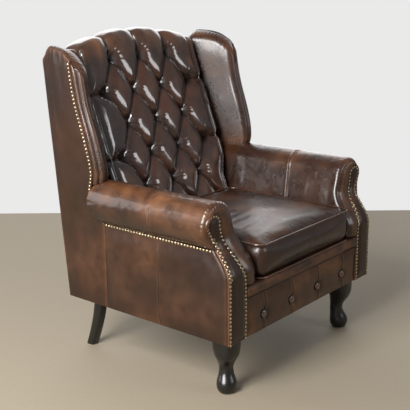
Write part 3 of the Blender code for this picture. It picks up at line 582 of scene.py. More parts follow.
def in_place(
    obj: bpy.types.Object,
    material: bpy.types.Material,
    nodes: Sequence[str] = (),
    body: str = CHAIR,
) -> bpy.types.Object:
    """Dresses a piece and ties it to its body.

    Args:
        obj: the finished mesh.
        material: its finish.
        nodes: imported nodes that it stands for.
        body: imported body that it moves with.

    Returns:
        The same object.
    """
    obj.data.materials.clear()
    obj.data.materials.append(material)
    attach(obj, body)
    if nodes:
        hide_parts(*nodes)
    LOG.info("%s: %d faces", obj.name, len(obj.data.polygons))
    return obj


def upholstered(
    obj: bpy.types.Object,
    material: bpy.types.Material,
    node: str,
    worn: np.ndarray,
    crease: np.ndarray,
) -> bpy.types.Object:
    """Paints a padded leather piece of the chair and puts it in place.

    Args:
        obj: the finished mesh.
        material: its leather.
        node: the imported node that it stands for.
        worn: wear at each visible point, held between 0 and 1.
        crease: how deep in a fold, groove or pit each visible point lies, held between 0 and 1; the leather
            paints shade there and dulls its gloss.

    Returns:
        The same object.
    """
    paint(obj, "worn", np.clip(worn, 0.0, 1.0))
    paint(obj, "crease", np.clip(crease, 0.0, 1.0))
    return in_place(obj, material, (node,))


# ------------------------------------------------------------------ finishes
def link(tree: bpy.types.NodeTree, source: bpy.types.NodeSocket, target: bpy.types.NodeSocket) -> None:
    """Joins two sockets."""
    tree.links.new(source, target)


class Shade:
    """A short hand for building one node tree."""

    def __init__(self, tree: bpy.types.NodeTree) -> None:
        """Keeps the tree."""
        self.tree = tree

    def node(self, kind: str, **settings: object) -> bpy.types.Node:
        """Adds a node; settings are its attributes."""
        made = self.tree.nodes.new("ShaderNode" + kind)
        for key, value in settings.items():
            setattr(made, key, value)
        return made

    def feed(self, socket: bpy.types.NodeSocket, value: object) -> None:
        """Sets a socket's value, or links it when the value is a socket."""
        if isinstance(value, bpy.types.NodeSocket):
            link(self.tree, value, socket)
        elif isinstance(value, tuple) and len(value) == 3 and socket.type == "RGBA":
            socket.default_value = (*value, 1.0)
        else:
            socket.default_value = value

    def maths(self, operation: str, *values: object, clamp: bool = False) -> bpy.types.NodeSocket:
        """Result of a Math node."""
        made = self.node("Math", operation=operation, use_clamp=clamp)
        for socket, value in zip(made.inputs, values):
            self.feed(socket, value)
        return made.outputs[0]

    def mixed(self, share: object, first: object, second: object) -> bpy.types.NodeSocket:
        """Colour between two colours."""
        made = self.node("Mix", data_type="RGBA")
        self.feed(made.inputs[0], share)
        self.feed(made.inputs[6], first)
        self.feed(made.inputs[7], second)
        return made.outputs[2]

    def ranged(
        self, value: object, low: float, high: float, start: float, stop: float
    ) -> bpy.types.NodeSocket:
        """Value moved from one range to another, clamped."""
        made = self.node("MapRange")
        for socket, number in zip(made.inputs, (value, low, high, start, stop)):
            self.feed(socket, number)
        return made.outputs[0]

    def spots(
        self, where: object, scale: object, detail: float = 3.0, rough: float = 0.55
    ) -> bpy.types.NodeSocket:
        """Noise from 0 to 1."""
        made = self.node("TexNoise")
        self.feed(made.inputs["Vector"], where)
        self.feed(made.inputs["Scale"], scale)
        self.feed(made.inputs["Detail"], detail)
        self.feed(made.inputs["Roughness"], rough)
        return made.outputs[0]

    def place(self, stretch: tuple = (1.0, 1.0, 1.0)) -> bpy.types.NodeSocket:
        """Object coordinates, stretched along the axes."""
        coordinates = self.node("TexCoord").outputs["Object"]
        if stretch == (1.0, 1.0, 1.0):
            return coordinates
        made = self.node("Mapping")
        self.feed(made.inputs["Vector"], coordinates)
        made.inputs["Scale"].default_value = stretch
        return made.outputs[0]

    def painted(self, name: str) -> bpy.types.NodeSocket:
        """A number painted on the mesh."""
        return self.node("Attribute", attribute_name=name).outputs["Fac"]

    def bumps(self, height: object, depth: float, normal: object = None) -> bpy.types.NodeSocket:
        """Normal bent by a height."""
        made = self.node("Bump")
        made.inputs["Distance"].default_value = depth
        made.inputs["Strength"].default_value = 1.0
        self.feed(made.inputs["Height"], height)
        if normal is not None:
            self.feed(made.inputs["Normal"], normal)
        return made.outputs[0]


def new_group(name: str, inputs: dict[str, float], outputs: Sequence[str]) -> tuple:
    """Node group with number sockets and nothing between them.

    Args:
        name: the group's name.
        inputs: socket names and first values.
        outputs: socket names.

    Returns:
        The group, a short hand for building it, and its input and output nodes.
    """
    group = bpy.data.node_groups.new(name, "ShaderNodeTree")
    for key, value in inputs.items():
        socket = group.interface.new_socket(key, in_out="INPUT", socket_type="NodeSocketFloat")
        socket.default_value = value
    for key in outputs:
        group.interface.new_socket(key, in_out="OUTPUT", socket_type="NodeSocketFloat")
    given = group.nodes.new("NodeGroupInput")
    put = group.nodes.new("NodeGroupOutput")
    return group, Shade(group), given, put


def hide_grain_group() -> bpy.types.NodeTree:
    """Pebbled grain and fine creases of a hide: height, and how worn the high spots are."""
    sockets = {"Pebble": 620.0, "Crease": 60.0}
    group, shade, given, put = new_group("hide_grain", sockets, ("Height", "Tone"))
    where = shade.place()
    warp = shade.node("TexNoise")
    shade.feed(warp.inputs["Vector"], where)
    shade.feed(warp.inputs["Scale"], 90.0)
    moved = shade.node("VectorMath", operation="MULTIPLY_ADD")
    shade.feed(moved.inputs[0], warp.outputs[1])
    moved.inputs[1].default_value = (0.0008, 0.0008, 0.0008)
    shade.feed(moved.inputs[2], where)

    def ridges(scale: bpy.types.NodeSocket, width: float) -> bpy.types.NodeSocket:
        """Cells of that scale, 0 at their borders and 1 from that width inwards."""
        cells = shade.node("TexVoronoi", feature="DISTANCE_TO_EDGE")
        shade.feed(cells.inputs["Vector"], moved.outputs[0])
        shade.feed(cells.inputs["Scale"], scale)
        return shade.ranged(cells.outputs[0], 0.0, width, 0.0, 1.0)

    pebble = ridges(given.outputs["Pebble"], 0.16)
    crease = ridges(given.outputs["Crease"], 0.05)
    fine = shade.spots(where, 900.0, 2.0)
    height = shade.maths("MULTIPLY_ADD", crease, 0.03, pebble)
    height = shade.maths("MULTIPLY_ADD", fine, 0.35, height)
    shade.feed(put.inputs["Height"], height)
    shade.feed(put.inputs["Tone"], pebble)
    return group


def patches_group() -> bpy.types.NodeTree:
    """Cloudy patches of a hand-rubbed finish, large and small, from 0 to 1."""
    group, shade, given, put = new_group("rubbed_patches", {"Size": 6.0}, ("Large", "Small"))
    where, size = shade.place(), given.outputs["Size"]
    large = shade.spots(where, size, 4.0, 0.5)
    shade.feed(put.inputs["Large"], shade.ranged(large, 0.34, 0.66, 0.0, 1.0))
    small = shade.spots(where, shade.maths("MULTIPLY", size, 4.0), 3.0, 0.5)
    shade.feed(put.inputs["Small"], shade.ranged(small, 0.30, 0.70, 0.0, 1.0))
    return group


def grouped(shade: Shade, group: bpy.types.NodeTree, **values: float) -> bpy.types.Node:
    """Places a node group with its own values."""
    made = shade.node("Group")
    made.node_tree = group
    for key, value in values.items():
        made.inputs[key].default_value = value
    return made


def fresh_material(name: str) -> tuple[bpy.types.Material, Shade, bpy.types.Node]:
    """A new material with its Principled shader."""
    material = bpy.data.materials.new(name)
    material.use_nodes = True
    shader = material.node_tree.nodes["Principled BSDF"]
    return material, Shade(material.node_tree), shader


@dataclass(frozen=True)
class Leather:
    """Antique leather: dark glaze over a red-brown hide, rubbed through where it wears, with painted shade
    in its folds, grooves and button pits.
    """

    name: str = "antique_leather"
    dark: tuple = (0.0122, 0.0047, 0.0026)
    hide: tuple = (0.036, 0.0122, 0.0044)
    tan: tuple = (0.200, 0.080, 0.030)
    # dark of the glaze in the grain's pits, and the colour of the painted shade in folds, grooves and pits
    seam: tuple = (0.010, 0.004, 0.003)
    roughness: float = 0.25
    coat: float = 0.45
    coat_roughness: float = 0.13
    coat_ior: float = 1.5
    specular: float = 0.42
    grain: float = 0.00008
    patch_size: float = 6.0
    warmth: float = 0.55

    def build(self, grain: bpy.types.NodeTree, patches: bpy.types.NodeTree) -> bpy.types.Material:
        """Makes the material.

        Args:
            grain: the hide grain group.
            patches: the rubbed patches group.

        Returns:
            The material.
        """
        material, shade, shader = fresh_material(self.name)
        cloud = grouped(shade, patches, Size=self.patch_size)
        hide = grouped(shade, grain, Pebble=620.0, Crease=60.0)
        worn, crease = shade.painted("worn"), shade.painted("crease")
        small = cloud.outputs["Small"]
        share = shade.maths("MULTIPLY", cloud.outputs["Large"], self.warmth)
        share = shade.maths("MULTIPLY_ADD", small, 0.20, share, clamp=True)
        colour = shade.mixed(share, self.dark, self.hide)
        rub = shade.maths("MULTIPLY", worn, shade.ranged(small, 0.0, 1.0, 0.35, 1.0), clamp=True)
        colour = shade.mixed(rub, colour, self.tan)
        low = shade.ranged(hide.outputs["Tone"], 0.0, 0.5, 0.10, 0.0)
        colour = shade.mixed(low, colour, self.seam)
        # painted shade: the painted crease mask darkens the leather in folds, grooves and pits, where shadow
        # falls
        colour = shade.mixed(crease, colour, self.seam)
        shade.feed(shader.inputs["Base Color"], colour)
        rough = shade.ranged(small, 0.0, 1.0, self.roughness - 0.05, self.roughness + 0.09)
        rough = shade.maths("MULTIPLY_ADD", rub, 0.10, rough)
        rough = shade.maths("MULTIPLY_ADD", crease, 0.25, rough, clamp=True)
        shade.feed(shader.inputs["Roughness"], rough)
        shader.inputs["Specular IOR Level"].default_value = self.specular
        shade.feed(
            shader.inputs["Coat Weight"],
            shade.maths("MULTIPLY_ADD", crease, -0.85 * self.coat, self.coat, clamp=True),
        )
        shader.inputs["Coat Roughness"].default_value = self.coat_roughness
        shader.inputs["Coat IOR"].default_value = self.coat_ior
        swell = shade.bumps(shade.spots(shade.place(), 45.0, 1.0), 0.0004)
        shade.feed(shader.inputs["Normal"], shade.bumps(hide.outputs["Height"], self.grain, swell))
        return material


@dataclass(frozen=True)
class Timber:
    """Wood with its grain along one axis."""

    name: str
    pale: tuple
    dark: tuple
    stretch: tuple = (22.0, 22.0, 1.6)
    roughness: float = 0.6
    coat: float = 0.0
    relief: float = 0.0002

    def build(self) -> bpy.types.Material:
        """Makes the material."""
        material, shade, shader = fresh_material(self.name)
        where = shade.place(self.stretch)
        rings = shade.spots(where, 2.2, 6.0, 0.6)
        fibre = shade.spots(where, 17.0, 4.0, 0.7)
        share = shade.maths("MULTIPLY_ADD", fibre, 0.45, shade.maths("MULTIPLY", rings, 0.6), clamp=True)
        shade.feed(shader.inputs["Base Color"], shade.mixed(share, self.pale, self.dark))
        rough = shade.ranged(fibre, 0.2, 0.8, self.roughness - 0.06, self.roughness + 0.08)
        shade.feed(shader.inputs["Roughness"], rough)
        shader.inputs["Coat Weight"].default_value = self.coat
        shader.inputs["Coat Roughness"].default_value = 0.22
        shade.feed(shader.inputs["Normal"], shade.bumps(fibre, self.relief))
        return material


@dataclass(frozen=True)
class Metal:
    """Metal with patches of tarnish."""

    name: str
    bright: tuple
    tarnish: tuple
    spot_scale: float = 220.0
    roughness: float = 0.30

    def build(self) -> bpy.types.Material:
        """Makes the material."""
        material, shade, shader = fresh_material(self.name)
        spots = shade.spots(shade.place(), self.spot_scale, 3.0, 0.6)
        share = shade.ranged(spots, 0.40, 0.70, 0.0, 1.0)
        shade.feed(shader.inputs["Base Color"], shade.mixed(share, self.bright, self.tarnish))
        shader.inputs["Metallic"].default_value = 1.0
        shade.feed(
            shader.inputs["Roughness"],
            shade.ranged(spots, 0.3, 0.7, self.roughness - 0.06, self.roughness + 0.16),
        )
        shade.feed(shader.inputs["Normal"], shade.bumps(spots, 0.0001))
        return material


@dataclass(frozen=True)
class Cloth:
    """Plain woven or felted cloth."""

    name: str
    colour: tuple
    shadow: tuple
    threads: float = 900.0
    roughness: float = 0.9

    def build(self) -> bpy.types.Material:
        """Makes the material."""
        material, shade, shader = fresh_material(self.name)
        where = shade.place()
        across = shade.node("TexWave", bands_direction="X")
        up = shade.node("TexWave", bands_direction="Y")
        for wave in (across, up):
            shade.feed(wave.inputs["Vector"], where)
            wave.inputs["Scale"].default_value = self.threads / 6.283
            wave.inputs["Distortion"].default_value = 1.2
        weave = shade.maths("MAXIMUM", across.outputs["Fac"], up.outputs["Fac"])
        patch = shade.spots(where, 30.0, 4.0)
        share = shade.maths("MULTIPLY_ADD", patch, 0.5, shade.maths("MULTIPLY", weave, 0.5), clamp=True)
        shade.feed(shader.inputs["Base Color"], shade.mixed(share, self.shadow, self.colour))
        shade.feed(shader.inputs["Roughness"], shade.ranged(patch, 0.2, 0.8, self.roughness - 0.05, 0.98))
        shade.feed(shader.inputs["Normal"], shade.bumps(weave, 0.0003))
        return material


@dataclass
class Finishes:
    """All materials of the chair."""

    leather: bpy.types.Material
    panel: bpy.types.Material
    seat: bpy.types.Material
    grained: bpy.types.Material
    rubbed: bpy.types.Material
    ebony: bpy.types.Material
    beech: bpy.types.Material
    brass: bpy.types.Material
    steel: bpy.types.Material
    hessian: bpy.types.Material
    lining: bpy.types.Material
    platform: bpy.types.Material

    @classmethod
    def mixed(cls) -> "Finishes":
        """Builds every material once."""
        grain, patches = hide_grain_group(), patches_group()
        return cls(
            leather=Leather(
                coat=1.0, coat_roughness=0.11, coat_ior=1.8, roughness=0.30, specular=0.25, warmth=0.7,
                hide=(0.052, 0.0155, 0.0048),
            ).build(grain, patches),
            panel=Leather(
                name="panel_leather", warmth=0.8, roughness=0.34, coat=0.2, coat_roughness=0.2,
                dark=(0.0130, 0.0050, 0.0025), hide=(0.0260, 0.0084, 0.0028), specular=0.36,
            ).build(grain, patches),
            seat=Leather(
                name="seat_leather", warmth=0.5, roughness=0.30, coat=0.4, coat_roughness=0.23
            ).build(grain, patches),
            grained=Leather(
                name="grained_leather", grain=0.00013, roughness=0.27, coat=0.45, warmth=0.9
            ).build(grain, patches),
            rubbed=Leather(name="rubbed_leather", warmth=0.95, roughness=0.28).build(grain, patches),
            ebony=Timber(
                "ebonised_legs", (0.008, 0.0062, 0.0052), (0.003, 0.0026, 0.0022), roughness=0.27,
                coat=0.1, relief=0.00008,
            ).build(),
            beech=Timber("planed_beech", (0.56, 0.39, 0.23), (0.33, 0.20, 0.11)).build(),
            brass=Metal("antique_brass", (0.56, 0.46, 0.31), (0.15, 0.10, 0.055)).build(),
            steel=Metal("drawn_steel", (0.48, 0.48, 0.49), (0.20, 0.19, 0.18)).build(),
            hessian=Cloth("hessian", (0.30, 0.22, 0.13), (0.10, 0.07, 0.04), 500.0).build(),
            lining=Cloth("black_lining", (0.020, 0.020, 0.021), (0.006, 0.006, 0.006), 1400.0).build(),
            platform=Cloth("platform_cloth", (0.052, 0.036, 0.026), (0.018, 0.012, 0.009), 1100.0).build(),
        )

    def dress_frame(self, nodes: dict) -> None:
        """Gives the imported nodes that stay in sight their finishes.

        Args:
            nodes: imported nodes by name.
        """
        inside = {
            "beech": ("rail", "post", "block", "board", "wing_frame"),
            "steel": ("bolt", "spring"),
            "hessian": ("back_support",),
        }
        for name, node in nodes.items():
            for finish, words in inside.items():
                if any(word in name for word in words):
                    node.data.materials.clear()
                    node.data.materials.append(getattr(self, finish))


# ------------------------------------------------------------------ inner back
@dataclass
class TuftedBack:
    """Inner back: diamonds between deep buttons, rolled over the crest."""

    finishes: Finishes
    pitch: float = 0.139
    top_row: float = 0.956
    row_pitch: float = 0.1028
    rows: tuple = (3, 4, 3, 4, 3)
    swell: float = 0.029
    crease_rise: float = 0.010
    pillow_reach: float = 0.054
    welt_inset: float = 0.024
    welt_rise: float = 0.014
    half_low: float = 0.2620
    half_high: float = 0.2960
    side_roll: float = 0.030
    columns: int = 215
    straight: float = 0.785
    turned: float = 0.130

    def half_at(self, z: np.ndarray) -> np.ndarray:
        """Half width of the pad at a height."""
        return self.half_low + (self.half_high - self.half_low) * smooth((z - 0.500) / 0.09)

    def buttons(self) -> list[np.ndarray]:
        """Places (x, z) of each row's buttons, from the top."""
        found = []
        for index, count in enumerate(self.rows):
            across = (np.arange(count) - (count - 1) / 2) * self.pitch
            height = np.full(count, self.top_row - index * self.row_pitch)
            found.append(np.stack([across, height], -1))
        return found

    def creases(self) -> list[tuple]:
        """Folds as (start, end, tied): tied folds end at a button, the others run out."""
        rows = self.buttons()
        hidden = np.stack([(np.arange(4) - 1.5) * self.pitch, np.full(4, 0.4422)], -1)
        folds = []
        for upper, lower in zip(rows, rows[1:] + [hidden]):
            for a in upper:
                for b in lower:
                    if abs(a[0] - b[0]) < 0.6 * self.pitch:
                        folds.append((a, b, True))
        for row in (rows[1], rows[3]):
            for place, sign in ((row[0], -1), (row[-1], 1)):
                folds.append((place, place + np.array([sign * 0.095, -0.004]), False))
        for place in rows[0]:
            folds.append((place, place + np.array([0.05 * place[0], 0.30]), False))
        for place in hidden:
            folds.append((place, place + np.array([0.0, -0.12]), False))
        return folds

    def section(self, x: np.ndarray, v: np.ndarray) -> tuple:
        """Envelope of the pillows.

        Args:
            x: distance from the middle, columns.
            v: 0 at the foot to 1 behind the crest, rows.

        Returns:
            Depth, height and the height measured along the leather, rows by columns.
        """
        line = LINES.crest(x)[None, :]
        turn = line - 0.078
        v = v[:, None]
        floor = LINES.deck + 0.001
        z_front = floor + (turn - floor) * np.minimum(v / self.straight, 1.0)
        depth_front = LINES.button_depth(z_front) - self.swell

        def bend(p0: tuple, p1: tuple, p2: tuple, p3: tuple, t: np.ndarray) -> list:
            """Point of a cubic between two tangents."""
            return [
                (1 - t) ** 3 * a + 3 * (1 - t) ** 2 * t * b + 3 * (1 - t) * t**2 * c + t**3 * d
                for a, b, c, d in zip(p0, p1, p2, p3)
            ]

        ahead = LINES.button_depth(turn) - self.swell
        top = ahead + 0.062
        rear_z = line - 0.019
        rear = LINES.back_depth(rear_z) + 0.002
        t = np.clip((v - self.straight) / self.turned, 0.0, 1.0)
        first = bend(
            (ahead, turn), (ahead + 0.0165, turn + 0.0446), (top - 0.034, line), (top, line), t
        )
        t = np.clip((v - self.straight - self.turned) / (1 - self.straight - self.turned), 0, 1)
        second = bend(
            (top, line), (top + 0.024, line), (rear + 0.002, line - 0.002), (rear, rear_z), t
        )
        in_first = (v > self.straight) & (v <= self.straight + self.turned)
        in_second = v > self.straight + self.turned
        depth = np.where(in_second, second[0], np.where(in_first, first[0], depth_front))
        z = np.where(in_second, second[1], np.where(in_first, first[1], z_front))
        step = np.hypot(np.diff(depth, axis=0), np.diff(z, axis=0))
        along = np.vstack([np.zeros((1, len(x))), np.cumsum(step, axis=0)])
        return depth, z, floor + along / math.hypot(1.0, LINES.rake)

    def relief(self, x: np.ndarray, q: np.ndarray, half: np.ndarray) -> tuple:
        """How far the leather lies under its envelope, with its wear and the painted shade of its creases
        and button pits.

        Args:
            x: distance from the middle.
            q: height along the leather.
            half: half width of the pad there.

        Returns:
            Sink in metres, wear, and crease values that paint shade along the folds and in the button pits.
        """
        near = np.full(x.shape, FAR_OFF)
        rise = np.zeros(x.shape)
        run = np.zeros(x.shape)
        for a, b, tied in self.creases():
            line = b - a
            length = np.hypot(*line)
            s = np.clip(((x - a[0]) * line[0] + (q - a[1]) * line[1]) / length**2, 0.0, 1.0)
            far = np.hypot(x - a[0] - s * line[0], q - a[1] - s * line[1])
            arch = np.sin(np.pi * s) ** 0.7 if tied else smooth(s * length / 0.05)
            closer = far < near
            near = np.where(closer, far, near)
            rise = np.where(closer, arch * self.crease_rise, rise)
            run = np.where(closer, s * length + 0.7 * a[0] + 0.3 * a[1], run)
        welt = np.abs(np.abs(x) - half + self.welt_inset)
        closer = welt * 1.6 < near
        near = np.where(closer, welt * 1.6, near)
        rise = np.where(closer, self.welt_rise, rise)
        t = np.clip(near / self.pillow_reach, 0.0, 1.0)
        arc = (1.0 - (1.0 - t) ** 2) ** 0.66
        height = rise + (self.swell - rise) * arc
        near_button = np.full(x.shape, FAR_OFF)
        gather = np.zeros(x.shape)
        flat = np.stack([x, q, np.zeros(x.shape)], -1)
        for index, place in enumerate(np.vstack(self.buttons())):
            dx, dq = x - place[0], q - place[1]
            far = np.hypot(dx, dq)
            near_button = np.minimum(near_button, far)
            turn = np.arctan2(dq, dx)
            pleats = np.sin(15 * turn + index * 1.7 + 2.0 * noise(flat, 0.03, 5))
            gather += pleats * 0.0010 * np.exp(-((far - 0.022) ** 2) / 0.014**2)
        comb = ripples(run, 0.0052, 3.0, flat, 0.02, 9)
        uneven = smooth(0.5 + 0.9 * noise(flat, 0.05, 3))
        gather += comb * 0.0006 * hump(near - 0.012, 0.013) * uneven * smooth((1.0 - q) / 0.04)
        height = height - 0.010 * hump(near_button, 0.018) + gather
        height += 0.0010 * noise(flat, 0.035, 7)
        worn = 0.30 * smooth((t - 0.55) / 0.4) * smooth(0.5 + noise(flat, 0.06, 11))
        # painted shade: dark along the folds, fainter along the welt line, darkest in the button pits
        crease = hump(near, 0.0022) * np.where(closer, 0.3, 0.9) + 1.1 * hump(near_button, 0.021)
        return self.swell - height, worn, np.clip(crease, 0.0, 1.0)

    def build(self) -> list[bpy.types.Object]:
        """Makes the pad with its buttons and side welts.

        Returns:
            The pieces.
        """
        u = np.linspace(-1.0, 1.0, self.columns)
        u = np.sign(u) * (1.0 - (1.0 - np.abs(u)) ** 1.12)
        v = np.concatenate(
            [
                np.linspace(0.0, self.straight, 190, endpoint=False),
                np.linspace(self.straight, self.straight + self.turned, 32, endpoint=False),
                np.linspace(self.straight + self.turned, 1.0, 18),
            ]
        )
        depth, z, q = self.section(u * self.half_high, v)
        half = self.half_at(z)
        x = u[None, :] * half
        outer = at_depth(x, depth, z)
        inner = self.hidden_side(x, z, v)
        normal = grid_normals(outer, inner)
        sink, worn, crease = self.relief(x, q, half)
        edge = half - np.abs(x)
        fade = smooth(edge / 0.016)
        sink = sink * fade + (1.0 - fade) * np.minimum(sink, 0.014)
        outer = outer - normal * sink[..., None]
        in_front = 1.0 - smooth((v - self.straight) / self.turned)[:, None]
        outer[..., 1] += roll_in(edge, self.side_roll) * in_front
        outer[..., 2] -= roll_in(edge, 0.014) * (1.0 - in_front)
        pad = stuffed("tufted_back", np.swapaxes(outer, 0, 1), np.swapaxes(inner, 0, 1))
        crest_wear = 0.22 * hump(q - 1.01, 0.05)
        paint(pad, "worn", np.swapaxes(worn + crest_wear, 0, 1))
        paint(pad, "crease", np.swapaxes(crease, 0, 1))
        in_place(pad, self.finishes.leather, ("back_pad",))
        return [pad, self.button_piece(), self.side_welts()]

    def hidden_side(self, x: np.ndarray, z: np.ndarray, v: np.ndarray) -> np.ndarray:
        """Side of the pad against the frame, over the crest rail and down behind it."""
        line = LINES.crest(x)
        rail = line - 0.0385
        low = at_depth(x * 0.985, LINES.back_depth(np.minimum(z, rail)) - 0.0465, np.minimum(z, rail))
        t = np.clip((v - self.straight - 0.05) / (0.95 - self.straight), 0.0, 1.0)[:, None]
        behind = at_depth(x * 0.985, LINES.back_depth(rail) - 0.0045, rail + 0.018 * t)
        return low + (behind - low) * smooth(t)[..., None]

    def button_piece(self) -> bpy.types.Object:
        """Covered buttons of the back, in one piece."""
        places = np.vstack(self.buttons())
        outward = np.array([0.0, -1.0, LINES.rake])
        outward /= np.linalg.norm(outward)
        frames = []
        for x, z in places:
            seat = at_depth(x, LINES.button_depth(z) + 0.0072, z)
            frames.append(facing_frame(seat, outward))
        obj = repeated("back_buttons", covered_button(0.0120), frames)
        paint(obj, "worn", 0.05)
        # painted shade: the buttons are darkened and dulled because they sit deep in their pits
        paint(obj, "crease", 0.55)
        rows = [f"back_buttons_row_{k}" for k in range(1, 6)]
        return in_place(obj, self.finishes.leather, rows)

    def side_welts(self) -> bpy.types.Object:
        """Corded edge down each side of the inner back."""
        z = np.linspace(0.46, 0.985, 120)
        half = self.half_at(z)
        x = half - self.welt_inset
        depth = LINES.button_depth(z) - self.welt_rise - 0.0006
        welts = []
        for side in Side:
            line = at_depth(side.value * x, depth, z)
            welts.append(tube("welt_" + side.word, line, 0.0022))
        obj = joined("back_side_welts", welts)
        paint(obj, "worn", 0.15)
        return in_place(obj, self.finishes.leather)


def domed(radius: float, sides: int, steps: Sequence[tuple]) -> bpy.types.Object:
    """Round cap looking along +Z, drawn up from a disc.

    Args:
        radius: of the rim.
        sides: corners of the disc.
        steps: (rise, share of the size before it) of each extrusion.

    Returns:
        The model, at the origin.
    """
    deselect()
    bpy.ops.mesh.primitive_circle_add(vertices=sides, radius=radius, fill_type="NGON")
    edit_all()
    for rise, size in steps:
        bpy.ops.mesh.extrude_region_move(TRANSFORM_OT_translate={"value": (0.0, 0.0, rise)})
        bpy.ops.transform.resize(value=(size, size, 1.0))
    bpy.ops.object.mode_set(mode="OBJECT")
    return bpy.context.object


def covered_button(radius: float) -> bpy.types.Object:
    """Domed leather button, its rim pulled in behind.

    Args:
        radius: of the rim.

    Returns:
        The model, at the origin.
    """
    steps = ((0.0020, 0.99), (0.0019, 0.94), (0.0016, 0.86), (0.0011, 0.72), (0.0005, 0.5))
    obj = domed(radius, 20, steps)
    for vertex in obj.data.vertices:
        if abs(vertex.co.z) < 1e-6:
            vertex.co.x *= 0.82
            vertex.co.y *= 0.82
    return obj


def nail_head(radius: float = 0.0046) -> bpy.types.Object:
    """Domed upholstery nail with a head of that radius."""
    return domed(radius, 10, ((0.0010, 0.90), (0.0009, 0.68), (0.0005, 0.45)))


